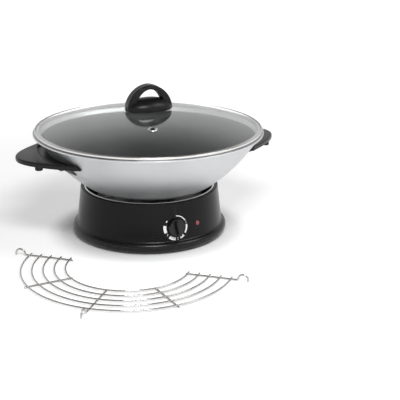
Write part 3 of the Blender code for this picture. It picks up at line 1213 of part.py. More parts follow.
def main():
    clear_scene()
    black = paint("black_plastic", (0.018, 0.018, 0.019), 0.38)
    dark = paint("handle_plastic", (0.030, 0.030, 0.031), 0.42)
    rubber = paint("rubber", (0.020, 0.020, 0.020), 0.85)
    bright = paint("bright_steel", (0.72, 0.72, 0.71), 0.15, 1.0)
    steel = paint("zinc_steel", (0.55, 0.55, 0.53), 0.35, 1.0)
    enamel = paint("black_steel", (0.020, 0.020, 0.021), 0.45)
    brass = paint("brass", (0.72, 0.53, 0.24), 0.35, 1.0)
    sheath = paint("element_sheath", (0.12, 0.115, 0.11), 0.5, 1.0)
    silver = paint("silver_coating", (0.42, 0.43, 0.44), 0.42, 0.6)
    alloy = paint("spreader_alloy", (0.35, 0.35, 0.35), 0.5, 1.0)
    glass = paint("clear_glass", (0.93, 0.96, 0.95), 0.02, 0.0, 0.3)
    red = paint("red_lens", (0.45, 0.02, 0.03), 0.2)
    red_wire = paint("red_insulation", (0.40, 0.03, 0.02), 0.6)
    blue_wire = paint("blue_insulation", (0.03, 0.10, 0.35), 0.6)
    white = paint("white_plastic", (0.80, 0.79, 0.76), 0.5)

    make_sockets()
    make_eyelet_axis()
    make_base_shell(black)
    make_bottom_cover(black)
    make_feet(rubber)
    make_reflector(bright)
    make_element(sheath)
    make_element_clips(steel)
    make_sensor(bright, steel)
    make_ties(steel)
    make_thermostat(black, brass, steel)
    make_dial(black)
    make_lamp(red, black)
    make_gland(black)
    make_terminal_block(white)
    make_fuse(steel)
    make_leads(red_wire, blue_wire)
    make_pan(silver)
    make_spreader(alloy)
    for side, turn in (("right", 0), ("left", math.radians(180))):
        make_handle(f"handle_{side}", turn, dark)
        make_bracket(f"handle_bracket_{side}", turn, enamel)
        make_handle_screws(side, turn, steel)
    make_glass(glass)
    make_band(bright)
    make_eyelet(bright)
    make_knob(dark)
    make_knob_fixing(rubber, bright)
    make_rack(bright)


main()
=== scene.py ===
# %% [markdown]
# An electric wok, dressed for its picture. A black plastic base holds a heating ring, a silver bowl
# with two wing handles stands in it, a glass lid with an arched knob lies on the bowl, and a wire
# rack lies on the table in front.
# The engineering model is loaded first, as a fixed frame in metres. Each piece made below goes where
# that model says, rides on one of its bodies, and hides the plain node that it stands for.

# %% Load the frame
import math

import bpy
import numpy as np
from mathutils import Euler, Matrix, Vector


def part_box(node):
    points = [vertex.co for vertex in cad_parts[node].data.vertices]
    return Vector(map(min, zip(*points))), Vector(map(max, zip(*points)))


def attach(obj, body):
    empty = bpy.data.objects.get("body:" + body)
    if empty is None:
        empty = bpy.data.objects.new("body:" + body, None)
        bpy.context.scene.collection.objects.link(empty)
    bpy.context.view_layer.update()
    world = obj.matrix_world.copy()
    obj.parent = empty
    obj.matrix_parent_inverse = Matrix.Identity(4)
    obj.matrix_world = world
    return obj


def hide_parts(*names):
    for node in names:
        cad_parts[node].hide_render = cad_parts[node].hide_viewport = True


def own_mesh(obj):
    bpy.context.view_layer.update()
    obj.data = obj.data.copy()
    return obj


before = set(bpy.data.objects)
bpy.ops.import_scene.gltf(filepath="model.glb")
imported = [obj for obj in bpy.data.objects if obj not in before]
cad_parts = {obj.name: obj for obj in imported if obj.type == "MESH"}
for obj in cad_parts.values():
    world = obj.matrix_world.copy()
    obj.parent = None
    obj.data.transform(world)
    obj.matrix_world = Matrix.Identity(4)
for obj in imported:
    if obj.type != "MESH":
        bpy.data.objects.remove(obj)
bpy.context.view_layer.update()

# %% [markdown]
# Nearly every piece of a wok is turned, drawn or swept, so one builder makes them all: a skin over
# rows of points. A turned piece is a profile carried round the axis, a wire is a circle carried along
# a path, and a handle is a section that changes as it goes. Working the rows out as whole arrays keeps
# the formula in sight. A row whose points are all one is a pole, where the quads become triangles, and
# the sign of the volume tells whether the faces look outwards.

# %% The builder: a skin over rows of points
SAME = 1e-9
SHARP_EDGE = math.radians(40)


def signed_volume(points, quads):
    """One sixth of a . (b x c), summed over the two triangles of each quad."""
    a, b, c, d = (points[quads[:, corner]] for corner in range(4))
    return np.sum(a * np.cross(b, c) + a * np.cross(c, d)) / 6


def skin(name, rows, ring=False):
    """Join rows of points, each closed on itself, into one body; ring joins the last row to the
    first."""
    rows = np.asarray(rows, float)
    count, steps = rows.shape[:2]
    index = np.arange(count * steps).reshape(count, steps)
    pole = np.ptp(rows, axis=1).max(axis=1) < SAME
    index[pole] = index[pole][:, :1]
    if ring:
        index = np.vstack([index, index[:1]])
    index = np.hstack([index, index[:, :1]])
    quads = np.stack([index[:-1, :-1], index[:-1, 1:], index[1:, 1:], index[1:, :-1]], axis=-1)
    used, quads = np.unique(quads.reshape(-1, 4), return_inverse=True)
    points, quads = rows.reshape(-1, 3)[used], quads.reshape(-1, 4)
    if signed_volume(points, quads) < 0:
        quads = quads[:, ::-1]
    first, last = quads[:, 0] == quads[:, 1], quads[:, 2] == quads[:, 3]
    faces = (quads[~(first | last)].tolist() + quads[first][:, [0, 2, 3]].tolist()
             + quads[last][:, [0, 1, 2]].tolist())
    mesh = bpy.data.meshes.new(name)
    mesh.from_pydata(points, [], faces)
    return as_piece(name, mesh)


def smoothed(mesh):
    """A mesh shaded smooth but for its sharp edges."""
    mesh.shade_smooth()
    mesh.set_sharp_from_angle(angle=SHARP_EDGE)
    return mesh


def in_scene(name, data):
    """A new object with this mesh, text, lamp or camera, at the origin of the scene."""
    made = bpy.data.objects.new(name, data)
    bpy.context.scene.collection.objects.link(made)
    return made


def as_piece(name, mesh):
    """Put a mesh in the scene as a piece."""
    return in_scene(name, smoothed(mesh))


def points_of(mesh):
    """A mesh's points as rows of (x, y, z)."""
    co = np.empty(len(mesh.vertices) * 3)
    mesh.vertices.foreach_get("co", co)
    return co.reshape(-1, 3)


def evaluated_mesh(piece):
    """A new mesh of what an object looks like with its modifiers, or of a text's letters."""
    bpy.context.view_layer.update()
    return bpy.data.meshes.new_from_object(piece.evaluated_get(bpy.context.evaluated_depsgraph_get()))


def capped(rows):
    """Close a tube of rows at both ends, each on the middle of its end section."""
    ends = rows[[0, -1]].mean(axis=1, keepdims=True).repeat(rows.shape[1], axis=1)
    return np.concatenate([ends[:1], rows, ends[1:]])


# %% Profiles with rounded corners
HOLD_SHARE = 0.3     # a holding line lies beside each rounding, this share of it further on


def rounded(corners, steps=5):
    """Replace each (x, y, rounding) corner by the arc that touches both of its sides: a rational curve
    from side to side that leans on the corner with the weight cos(turn / 2)."""
    spots = np.array([corner[:2] for corner in corners], float)
    points = []
    for number, here in enumerate(spots):
        rounding = corners[number][2] if len(corners[number]) > 2 else 0
        if not rounding:
            points.append(here[None])
            continue
        back, on = spots[number - 1] - here, spots[(number + 1) % len(spots)] - here
        back, on = back / np.linalg.norm(back), on / np.linalg.norm(on)
        half_turn = math.acos(np.clip(-back @ on, -1, 1)) / 2
        reach = rounding * math.tan(half_turn)
        share = np.linspace(0, 1, steps + 1)[:, None]
        pull = 2 * share * (1 - share) * math.cos(half_turn)
        arc = (1 - share) ** 2 * (here + back * reach) + share ** 2 * (here + on * reach) + pull * here
        points += [(here + back * reach * (1 + HOLD_SHARE))[None],
                   arc / ((1 - share) ** 2 + share ** 2 + pull),
                   (here + on * reach * (1 + HOLD_SHARE))[None]]
    return np.vstack(points)


def oval(centre, radii, start, end, steps):
    """Points of a part of an ellipse: centre + (a cos t, b sin t), with t in degrees."""
    turn = np.radians(np.linspace(start, end, steps + 1))
    return [(centre[0] + radii[0] * math.cos(t), centre[1] + radii[1] * math.sin(t)) for t in turn]


# %% Turned pieces, wires, and cuts
def turned(name, profile, steps=192):
    """Carry a profile of (radius, height) round Z: (r cos a, r sin a, z). It is a solid if it starts
    and ends on the axis, and otherwise a ring."""
    profile = np.asarray(profile, float)
    angle = np.arange(steps) * math.tau / steps
    radius, height = profile[:, :1], profile[:, 1:]
    rows = np.stack([radius * np.cos(angle), radius * np.sin(angle), height + 0 * angle], axis=-1)
    return skin(name, rows, ring=profile[0, 0] > 0)


def wire_rows(path, radius, side, sides=14, dome_steps=4):
    """Circles along a path: p + r (cos t s + sin t (d x s)), where d is the path's direction and s
    the side square to it. Each end closes in a dome, whose rows shrink as a cosine while they go on
    as a sine."""
    path, side = np.asarray(path, float), np.broadcast_to(side, np.shape(path))
    along = np.gradient(path, axis=0)
    along /= np.linalg.norm(along, axis=1, keepdims=True)
    turn = np.radians(np.linspace(90, 0, dome_steps + 1))[:-1, None]
    near = path[0] - along[0] * radius * np.sin(turn)
    far = path[-1] + along[-1] * radius * np.sin(turn[::-1])
    sizes = np.concatenate([radius * np.cos(turn), np.full((len(path), 1), radius),
                            radius * np.cos(turn[::-1])])
    path = np.vstack([near, path, far])
    along, side = (np.vstack([one[:1].repeat(dome_steps, 0), one, one[-1:].repeat(dome_steps, 0)])
                   for one in (along, side))
    round_angle = np.arange(sides) * math.tau / sides
    across = (np.cos(round_angle)[:, None] * side[:, None] + np.sin(round_angle)[:, None]
              * np.cross(along, side)[:, None])
    rows = path[:, None] + across * sizes[:, None]
    rows[0], rows[-1] = path[0], path[-1]
    return rows


def joined(name, pieces):
    """One mesh of several, side by side."""
    counts = np.cumsum([0] + [len(piece.data.vertices) for piece in pieces])
    points, faces = [], []
    for piece, start in zip(pieces, counts):
        points.append(points_of(piece.data))
        faces += [[start + corner for corner in face.vertices] for face in piece.data.polygons]
        bpy.data.objects.remove(piece)
    mesh = bpy.data.meshes.new(name)
    mesh.from_pydata(np.vstack(points), [], faces)
    return as_piece(name, mesh)


def combine(piece, other, operation="DIFFERENCE"):
    """Cut another shape out of a piece, or weld it on, and throw the other away."""
    modifier = piece.modifiers.new("cut", "BOOLEAN")
    modifier.operation, modifier.solver, modifier.object = operation, "EXACT", other
    mesh = evaluated_mesh(piece)
    piece.modifiers.clear()
    piece.data = smoothed(mesh)
    bpy.data.objects.remove(other)
    return piece


def placed(piece, matrix):
    """Put a piece in its place by moving its mesh, so that its object stays at the origin."""
    piece.data.transform(matrix)
    return piece


# %% [markdown]
# Finishes come next. Real moulded, brushed or sprayed surfaces are never one flat colour: plastic has
# a fine spark-eroded grain, a spun sheet has rings from the lathe, edges are rubbed shiny, and hands
# leave soft marks. Each of these effects is a node group with named inputs, built once and placed in
# every material that shows it, so one change improves them all. They read Object coordinates, because
# each piece has its place in its own mesh: the pattern is then in real metres.

# %% Node groups that the finishes share
def new_group(name, inputs, outputs):
    """An empty shader group, with its sockets given as {name: default} and {name: type}."""
    group = bpy.data.node_groups.new(name, "ShaderNodeTree")
    for label, value in inputs.items():
        kind = "NodeSocketColor" if isinstance(value, tuple) else "NodeSocketFloat"
        group.interface.new_socket(label, in_out="INPUT", socket_type=kind).default_value = value
    for label, kind in outputs.items():
        group.interface.new_socket(label, in_out="OUTPUT", socket_type=kind)
    return group, group.nodes.new("NodeGroupInput"), group.nodes.new("NodeGroupOutput")


def feed(tree, socket, value):
    """Give a socket a value of its own, or the output of another node."""
    if isinstance(value, (int, float, tuple)):
        socket.default_value = value
    else:
        tree.links.new(value, socket)


def set_sockets(node, values):
    """Give a node's sockets their own values, by name with _ for a space."""
    for label, value in values.items():
        node.inputs[label.replace("_", " ")].default_value = value


def maths(tree, operation, *values):
    """A Math node whose inputs are numbers or other nodes' sockets; gives its output."""
    node = tree.nodes.new("ShaderNodeMath")
    node.operation = operation
    for socket, value in zip(node.inputs, values):
        feed(tree, socket, value)
    return node.outputs[0]


def axis_distance(tree):
    """sqrt(x^2 + y^2) in Object coordinates: the distance from the wok's axis."""
    place = tree.nodes.new("ShaderNodeTexCoord")
    split = tree.nodes.new("ShaderNodeSeparateXYZ")
    tree.links.new(place.outputs["Object"], split.inputs[0])
    squares = (maths(tree, "MULTIPLY", output, output) for output in split.outputs[:2])
    return maths(tree, "SQRT", maths(tree, "ADD", *squares))


def ramp(tree, value, smooth=False, **ends):
    """A Map Range node, with From_Min, From_Max, To_Min and To_Max as its ends."""
    node = tree.nodes.new("ShaderNodeMapRange")
    if smooth:
        node.interpolation_type = "SMOOTHSTEP"
    tree.links.new(value, node.inputs["Value"])
    for label, end in ends.items():
        feed(tree, node.inputs[label.replace("_", " ")], end)
    return node.outputs[0]


def noise(tree, scale, detail, stretch=(1, 1, 1)):
    """Noise in Object coordinates; the scale is in cells per metre, and stretch squeezes an axis."""
    place = tree.nodes.new("ShaderNodeTexCoord")
    mapping = tree.nodes.new("ShaderNodeMapping")
    mapping.inputs["Scale"].default_value = stretch
    texture = tree.nodes.new("ShaderNodeTexNoise")
    texture.inputs["Detail"].default_value = detail
    tree.links.new(place.outputs["Object"], mapping.inputs["Vector"])
    tree.links.new(mapping.outputs[0], texture.inputs["Vector"])
    feed(tree, texture.inputs["Scale"], scale)
    return texture.outputs["Fac"]


def mixed(tree, share, one, two, kind="RGBA"):
    """A Mix node from one value to another; gives its output."""
    node = tree.nodes.new("ShaderNodeMix")
    node.data_type = kind
    sockets = {"RGBA": (0, 6, 7, 2), "FLOAT": (0, 2, 3, 0)}[kind]
    for place, value in zip(sockets, (share, one, two)):
        feed(tree, node.inputs[place], value)
    return node.outputs[sockets[3]]


def bumped(tree, height, depth):
    """A Bump node: height is 0 to 1, and depth is the real depth in metres."""
    node = tree.nodes.new("ShaderNodeBump")
    feed(tree, node.inputs["Distance"], depth)
    tree.links.new(height, node.inputs["Height"])
    return node.outputs["Normal"]


GRAIN_DETAIL = 3.0
MARK_SCALE = 28.0      # soft marks of hands and cloths, per metre
RUB_SCALE = 160.0      # breaks in the rubbed edges, per metre


def make_grain_group():
    """Moulded or blasted grain, with soft marks that shift the colour and the roughness a little."""
    group, given, result = new_group(
        "moulded_grain",
        {"Colour": (0.5, 0.5, 0.5, 1.0), "Roughness": 0.4, "Grain per Metre": 2500.0,
         "Grain Depth": 0.00002, "Marks": 0.1},
        {"Colour": "NodeSocketColor", "Roughness": "NodeSocketFloat", "Normal": "NodeSocketVector"})
    fine = noise(group, given.outputs["Grain per Metre"], GRAIN_DETAIL)
    marks = noise(group, MARK_SCALE, GRAIN_DETAIL)
    swing = maths(group, "MULTIPLY", maths(group, "SUBTRACT", marks, 0.5), given.outputs["Marks"])
    level = maths(group, "ADD", swing, 1.0)
    shade = group.nodes.new("ShaderNodeVectorMath")
    shade.operation = "SCALE"
    group.links.new(given.outputs["Colour"], shade.inputs[0])
    group.links.new(level, shade.inputs["Scale"])
    group.links.new(shade.outputs[0], result.inputs["Colour"])
    rough = maths(group, "MULTIPLY", given.outputs["Roughness"], maths(group, "ADD", swing, level))
    group.links.new(rough, result.inputs["Roughness"])
    group.links.new(bumped(group, fine, given.outputs["Grain Depth"]), result.inputs["Normal"])
    return group


def make_rings_group():
    """Fine rings round the Z axis, as a lathe or a spinning brush leaves: noise of the radius alone."""
    group, given, result = new_group(
        "turning_rings", {"Rings per Metre": 900.0, "Ring Depth": 0.00002},
        {"Mask": "NodeSocketFloat", "Normal": "NodeSocketVector"})
    texture = group.nodes.new("ShaderNodeTexNoise")
    texture.noise_dimensions = "1D"
    group.links.new(axis_distance(group), texture.inputs["W"])
    group.links.new(given.outputs["Rings per Metre"], texture.inputs["Scale"])
    group.links.new(texture.outputs["Fac"], result.inputs["Mask"])
    group.links.new(bumped(group, texture.outputs["Fac"], given.outputs["Ring Depth"]),
                    result.inputs["Normal"])
    return group


def make_rub_group():
    """Rubbed edges: where the surface is pointed, broken up by noise, the mask rises to 1."""
    group, given, result = new_group("rubbed_edges", {"Start": 0.53, "Full": 0.60},
                                     {"Mask": "NodeSocketFloat"})
    shape = group.nodes.new("ShaderNodeNewGeometry")
    edges = ramp(group, shape.outputs["Pointiness"], From_Min=given.outputs["Start"],
                 From_Max=given.outputs["Full"])
    broken = maths(group, "MULTIPLY", edges, noise(group, RUB_SCALE, GRAIN_DETAIL))
    group.links.new(broken, result.inputs["Mask"])
    return group


grain_group = make_grain_group()
rings_group = make_rings_group()
rub_group = make_rub_group()
print("shared effects:", [group.name for group in (grain_group, rings_group, rub_group)])

# %% Start a finish
def new_finish(name, metallic=0.0, **shader_values):
    """A material with a Principled shader; the rest are its sockets' own values by name."""
    material = bpy.data.materials.new(name)
    material.use_nodes = True
    shader = material.node_tree.nodes["Principled BSDF"]
    shader.inputs["Metallic"].default_value = metallic
    set_sockets(shader, shader_values)
    return material, material.node_tree, shader


def place_group(tree, group, **values):
    """Place a shared effect in a material with its own values, given by the sockets' names."""
    node = tree.nodes.new("ShaderNodeGroup")
    node.node_tree = group
    set_sockets(node, values)
    return node


def moulded(name, colour, roughness, metallic=0.0, grain=2500.0, depth=0.00002, marks=0.12,
            rub=0.0, rub_colour=(0.5, 0.5, 0.5, 1.0), **shader_values):
    """A grained finish whose edges are rubbed towards another colour and a smoother surface."""
    material, tree, shader = new_finish(name, metallic, **shader_values)
    effect = place_group(tree, grain_group, Colour=(*colour, 1.0), Roughness=roughness,
                         Grain_per_Metre=grain, Grain_Depth=depth, Marks=marks)
    colour_out, rough_out = effect.outputs["Colour"], effect.outputs["Roughness"]
    if rub:
        worn = place_group(tree, rub_group)
        mask = maths(tree, "MULTIPLY", worn.outputs["Mask"], rub)
        colour_out = mixed(tree, mask, colour_out, rub_colour)
        rough_out = mixed(tree, mask, rough_out, roughness * 0.6, "FLOAT")
    tree.links.new(colour_out, shader.inputs["Base Color"])
    tree.links.new(rough_out, shader.inputs["Roughness"])
    tree.links.new(effect.outputs["Normal"], shader.inputs["Normal"])
    return material


# %% [markdown]
# The finishes that are told apart by their values alone: satin black mouldings, a glossier black for
# the dial, a copy of the satin black for the skirt that reflects twice as strongly, as a painted
# highlight along the skirt, the handles and knob, rubber, black enamel on the brackets, zinc-plated
# small parts, brass, the oxidised sheath of the heating tube, the lamp's red lens, the wires' coloured
# sleeves and the white ink of the dial's scale.

# %% Mouldings and small parts
base_plastic = moulded("satin_black_plastic", (0.004, 0.004, 0.0044), 0.21, grain=3200.0,
                       depth=0.000012, marks=0.16, rub=0.25, rub_colour=(0.04, 0.04, 0.04, 1.0),
                       Specular_IOR_Level=0.15)
# The base's black again, reflecting more strongly: a painted highlight along the skirt.
skirt_highlight_plastic = moulded("skirt_painted_highlight_plastic", (0.003, 0.003, 0.0034), 0.27, grain=4000.0,
                        depth=0.000006, marks=0.2, Specular_IOR_Level=0.30)
handle_plastic = moulded("handle_plastic", (0.006, 0.006, 0.0065), 0.30, grain=2600.0,
                         depth=0.00002, marks=0.16, rub=0.3, rub_colour=(0.07, 0.07, 0.07, 1.0),
                         Specular_IOR_Level=0.22)
dial_plastic = moulded("glossy_dial_plastic", (0.006, 0.006, 0.0065), 0.22, grain=4000.0,
                       depth=0.000004, marks=0.2, rub=0.25, rub_colour=(0.05, 0.05, 0.05, 1.0),
                       Specular_IOR_Level=0.35)
rubber = moulded("rubber", (0.020, 0.020, 0.020), 0.85, grain=1800.0, depth=0.00004)
enamel = moulded("black_enamel", (0.016, 0.016, 0.017), 0.42, grain=1200.0, depth=0.00001,
                 Specular_IOR_Level=0.35)
zinc = moulded("zinc_plate", (0.60, 0.60, 0.57), 0.36, metallic=1.0, grain=1500.0,
               depth=0.000006, marks=0.3, rub=0.2, rub_colour=(0.75, 0.75, 0.74, 1.0))
brass = moulded("brass", (0.72, 0.53, 0.24), 0.30, metallic=1.0, grain=1500.0, depth=0.000004,
                marks=0.25)
sheath = moulded("oxidised_sheath", (0.13, 0.12, 0.115), 0.48, metallic=1.0, grain=900.0,
                 depth=0.00001, marks=0.5)
red_sleeve = moulded("red_sleeve", (0.42, 0.03, 0.02), 0.55, marks=0.1)
blue_sleeve = moulded("blue_sleeve", (0.03, 0.10, 0.36), 0.55, marks=0.1)
white_plastic = moulded("white_block_plastic", (0.80, 0.79, 0.76), 0.48, marks=0.08)
scale_ink = moulded("white_scale_ink", (0.86, 0.86, 0.85), 0.45, grain=5000.0, marks=0.06)
lens_red = moulded("red_lens", (0.24, 0.016, 0.026), 0.12, grain=600.0, depth=0.00001, marks=0.2,
                   Coat_Weight=0.5)
print("plain finishes:", len(bpy.data.materials))

# %% [markdown]
# Bare metal. The lid's band and the thermostat's feeler are polished steel, the reflector's rim and the
# vent are a brighter one, and the rack is chromed wire. What makes them read as metal is what they
# mirror, so the roughness stays low and only hair-fine rings and wipe marks break the mirror. The
# reflector's wall and the bore of the vent are painted near black, as painted shade where the bowl and
# the narrow hole keep the light out, and the reflector's floor is a duller, darker steel. The plate
# below the bowl is machined, with coarser rings.

# %% The metals
def spun(name, colour, roughness, rings, depth, marks, spread):
    """A metal with turning rings: the rings' mask also moves the roughness by the spread."""
    material, tree, shader = new_finish(name, 1.0)
    effect = place_group(tree, grain_group, Colour=(*colour, 1.0), Roughness=roughness, Marks=marks)
    lathe = place_group(tree, rings_group, Rings_per_Metre=rings, Ring_Depth=depth)
    swing = maths(tree, "MULTIPLY", maths(tree, "SUBTRACT", lathe.outputs["Mask"], 0.5), spread)
    tree.links.new(effect.outputs["Colour"], shader.inputs["Base Color"])
    tree.links.new(maths(tree, "ADD", effect.outputs["Roughness"], swing), shader.inputs["Roughness"])
    tree.links.new(lathe.outputs["Normal"], shader.inputs["Normal"])
    return material


polished_steel = spun("polished_steel", (0.66, 0.65, 0.64), 0.16, 700.0, 0.0000015, 0.25, 0.04)
ring_steel = spun("ring_steel", (0.93, 0.92, 0.91), 0.24, 700.0, 0.0000015, 0.25, 0.04)
# Near-black steel: painted shade for the reflector's wall under the bowl and for the bore of the vent.
painted_shade_steel = moulded("painted_shade_steel", (0.035, 0.033, 0.032), 0.55, metallic=1.0, grain=900.0,
                      depth=0.00001, marks=0.4)
dull_steel = spun("dull_steel", (0.42, 0.41, 0.40), 0.38, 700.0, 0.000004, 0.4, 0.1)
rack_wire = moulded("chromed_wire", (0.50, 0.49, 0.48), 0.17, metallic=1.0, grain=700.0,
                    depth=0.000004, marks=0.35)
machined_plate = spun("machined_plate", (0.50, 0.50, 0.50), 0.36, 1400.0, 0.00001, 0.3, 0.2)
print("metals:", polished_steel.name, rack_wire.name, machined_plate.name)

# %% [markdown]
# The bowl has two coats on one casting: sprayed silver outside, over the rim and a finger's width down
# the inside, and dark non-stick below that. The line between them follows the wall, so it is kept as an
# attribute of the mesh, 0 for silver and 1 for non-stick, and the material mixes its values by it.

# %% The bowl's two coats
SILVER = (0.60, 0.61, 0.62)
NON_STICK = (0.018, 0.0185, 0.0195)
COAT_ATTRIBUTE = "non_stick"


def make_bowl_finish():
    """Silver and non-stick, mixed by the attribute in colour, roughness and metallic."""
    material, tree, shader = new_finish("silver_and_non_stick", Specular_IOR_Level=0.3)
    silver = place_group(tree, grain_group, Colour=(*SILVER, 1.0), Roughness=0.40,
                         Grain_per_Metre=3500.0, Grain_Depth=0.00001, Marks=0.10)
    dark = place_group(tree, grain_group, Colour=(*NON_STICK, 1.0), Roughness=0.42,
                       Grain_per_Metre=2200.0, Grain_Depth=0.00002, Marks=0.25)
    coat = tree.nodes.new("ShaderNodeAttribute")
    coat.attribute_name = COAT_ATTRIBUTE
    share = coat.outputs["Fac"]
    tree.links.new(mixed(tree, share, silver.outputs["Colour"], dark.outputs["Colour"]),
                   shader.inputs["Base Color"])
    tree.links.new(mixed(tree, share, silver.outputs["Roughness"], dark.outputs["Roughness"], "FLOAT"),
                   shader.inputs["Roughness"])
    tree.links.new(mixed(tree, share, 0.92, 0.0, "FLOAT"), shader.inputs["Metallic"])
    tree.links.new(silver.outputs["Normal"], shader.inputs["Normal"])
    return material


bowl_finish = make_bowl_finish()
print("bowl finish nodes:", len(bowl_finish.node_tree.nodes))

# %% [markdown]
# Glass. The dome is tempered glass with a hint of green, so it is a Principled shader at full
# transmission with a real wall. Lamps can't find their way through a bent pane, so for shadow rays it
# is plain transparent: then the bowl under it is lit. Finger marks are a faint, uneven roughness.

# %% Tempered glass
def make_glass():
    """Clear glass with faint smears, and clear for the rays that look for lamps."""
    material, tree, shader = new_finish("tempered_glass", Transmission_Weight=1.0, IOR=1.5,
                                        Base_Color=(0.955, 0.975, 0.965, 1.0))
    smear = noise(tree, 45.0, 4.0, (1, 1.6, 1))
    tree.links.new(ramp(tree, smear, From_Min=0.5, From_Max=0.9, To_Max=0.05),
                   shader.inputs["Roughness"])
    path = tree.nodes.new("ShaderNodeLightPath")
    clear = tree.nodes.new("ShaderNodeBsdfTransparent")
    mix = tree.nodes.new("ShaderNodeMixShader")
    tree.links.new(path.outputs["Is Shadow Ray"], mix.inputs[0])
    tree.links.new(shader.outputs[0], mix.inputs[1])
    tree.links.new(clear.outputs[0], mix.inputs[2])
    tree.links.new(mix.outputs[0], tree.nodes["Material Output"].inputs["Surface"])
    return material


tempered_glass = make_glass()

# %% [markdown]
# A made piece is then dressed: it gets its finish, the body that it moves with, and the names of the
# plain nodes that it stands for.

# %% Dress a piece
def finish_within(piece, finish, radius):
    """Give a second finish to the faces of a turned piece whose middle lies nearer to its axis than a
    radius: sqrt(x^2 + y^2) < radius."""
    piece.data.materials.append(finish)
    centre = np.empty(len(piece.data.polygons) * 3)
    piece.data.polygons.foreach_get("center", centre)
    within = np.hypot(centre[0::3], centre[1::3]) < radius
    index = np.zeros(len(within), np.int32)
    piece.data.polygons.foreach_get("material_index", index)
    index[within] = len(piece.data.materials) - 1
    piece.data.polygons.foreach_set("material_index", index)
    piece.data.update()
    print(f"{piece.name}: {within.sum()} faces in {finish.name}")


def dress(piece, finish, body, slot, *nodes):
    """Give a piece its finish, and tell the frame what it rides on and stands for."""
    piece.data.materials.clear()
    piece.data.materials.append(finish)
    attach(piece, body)
    if nodes:
        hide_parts(*nodes)
    print(f"{piece.name}: {len(piece.data.polygons)} faces, on {body}")
    return piece


# %% [markdown]
# The base is one deep moulding: a lip and a ledge that hold the reflector, a wall that leans in, and a
# skirt that bulges over the table and tucks in at the hem. It is turned from one profile. The skirt is
# two parts of ovals, and a small hollow rounding joins it to the wall, because moulded corners are
# never sharp. Three round holes for dial, lamp and gland are bored square to the leaning wall. The one
# moulding gets two copies of its black: the skirt's reflects more, as a painted highlight along the
# skirt, and the faces from the wall inwards get one that reflects less, as painted shade on the wall.

# %% Lines of the base
shell_low, shell_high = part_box("base_shell")
SHELL_TOP = shell_high.z
SKIRT_RADIUS = shell_high.x
HEM_HEIGHT = shell_low.z
WALL_FOOT = (SKIRT_RADIUS - 0.007, 0.0150)      # radius and height where wall and skirt meet
WALL_HEAD = (0.1109, SHELL_TOP)
SHELL_WALL = 0.0025
BULGE_HEIGHT = 0.0083
HEM_TUCK = 0.005
WALL_LEAN = math.atan2(WALL_FOOT[0] - WALL_HEAD[0], WALL_HEAD[1] - WALL_FOOT[1])
FIT = 0.0003
RING_RADIUS = 0.1038                             # middle of the reflector's rolled rim
RING_TUBE = 0.002


def wall_radius(height):
    """Outer radius of the base's straight wall: it falls evenly from foot to head."""
    share = (height - WALL_FOOT[1]) / (WALL_HEAD[1] - WALL_FOOT[1])
    return WALL_FOOT[0] + (WALL_HEAD[0] - WALL_FOOT[0]) * share


def round_base(radius, angle, height):
    """A place round the base: angle 0 is the front, and a positive one goes towards +X."""
    return Vector((radius * math.sin(angle), -radius * math.cos(angle), height))


def wall_frame(height, angle):
    """Axes on the wall: Z points out of it, Y goes up it."""
    turn = Euler((math.radians(90) - WALL_LEAN, 0, angle)).to_matrix().to_4x4()
    return Matrix.Translation(round_base(wall_radius(height), angle, height)) @ turn


DIAL_HEIGHT = 0.037
LAMP_ANGLE = math.radians(19.6)
dial_frame = wall_frame(DIAL_HEIGHT, 0)
lamp_frame = wall_frame(DIAL_HEIGHT, LAMP_ANGLE)
gland_frame = wall_frame(DIAL_HEIGHT, math.pi)
print("the wall leans in by", round(math.degrees(WALL_LEAN), 2), "degrees")


# %% Base moulding
def base_profile():
    """Lip, wall, skirt, hem and back up inside, as (radius, height, rounding)."""
    ledge = SHELL_TOP - 2 * RING_TUBE - FIT
    lip = RING_RADIUS + RING_TUBE + FIT
    hem = SKIRT_RADIUS - HEM_TUCK
    inside = hem - SHELL_WALL
    corners = [(lip, ledge), (lip, SHELL_TOP, 0.0005), (*WALL_HEAD, 0.0014), (*WALL_FOOT, 0.0036)]
    corners += oval((WALL_FOOT[0], BULGE_HEIGHT),
                    (SKIRT_RADIUS - WALL_FOOT[0], WALL_FOOT[1] - BULGE_HEIGHT), 56, 0, 12)
    corners += oval((hem, BULGE_HEIGHT), (HEM_TUCK, BULGE_HEIGHT - HEM_HEIGHT), -9, -90, 9)
    corners += [(inside, HEM_HEIGHT, 0.0005), (inside, 0.0033), (inside - 0.002, 0.0033),
                (inside - 0.002, 0.0058), (SKIRT_RADIUS - SHELL_WALL, BULGE_HEIGHT),
                (WALL_FOOT[0] - SHELL_WALL, WALL_FOOT[1], 0.002),
                (wall_radius(ledge - SHELL_WALL) - SHELL_WALL, ledge - SHELL_WALL, 0.001),
                (RING_RADIUS - RING_TUBE + 0.0013, ledge - SHELL_WALL),
                (RING_RADIUS - RING_TUBE + 0.0013, ledge, 0.0004)]
    return rounded(corners)


def bore(piece, radius, low, high, matrix):
    """Drill a round hole along a frame's Z axis, between two distances."""
    drill = turned("drill", [(0, low), (radius, low), (radius, high), (0, high)], 48)
    return combine(piece, placed(drill, matrix))


base_moulding = turned("base_moulding", base_profile())
for hole_radius, hole_frame in ((0.0056, dial_frame), (0.0038, lamp_frame), (0.0065, gland_frame)):
    bore(base_moulding, hole_radius, -0.0045, 0.002, hole_frame)
dress(base_moulding, skirt_highlight_plastic, "base", "black_plastic", "base_shell")
# The wall and all within it get the weaker reflecting black: painted shade on the wall.
finish_within(base_moulding, base_plastic, WALL_FOOT[0])

# %% [markdown]
# The bush at the back is where the mains lead would enter, and four rubber pads carry the base. Both
# are small turned pieces with soft edges. The pads' studs push through the cover, so only the pads
# show.

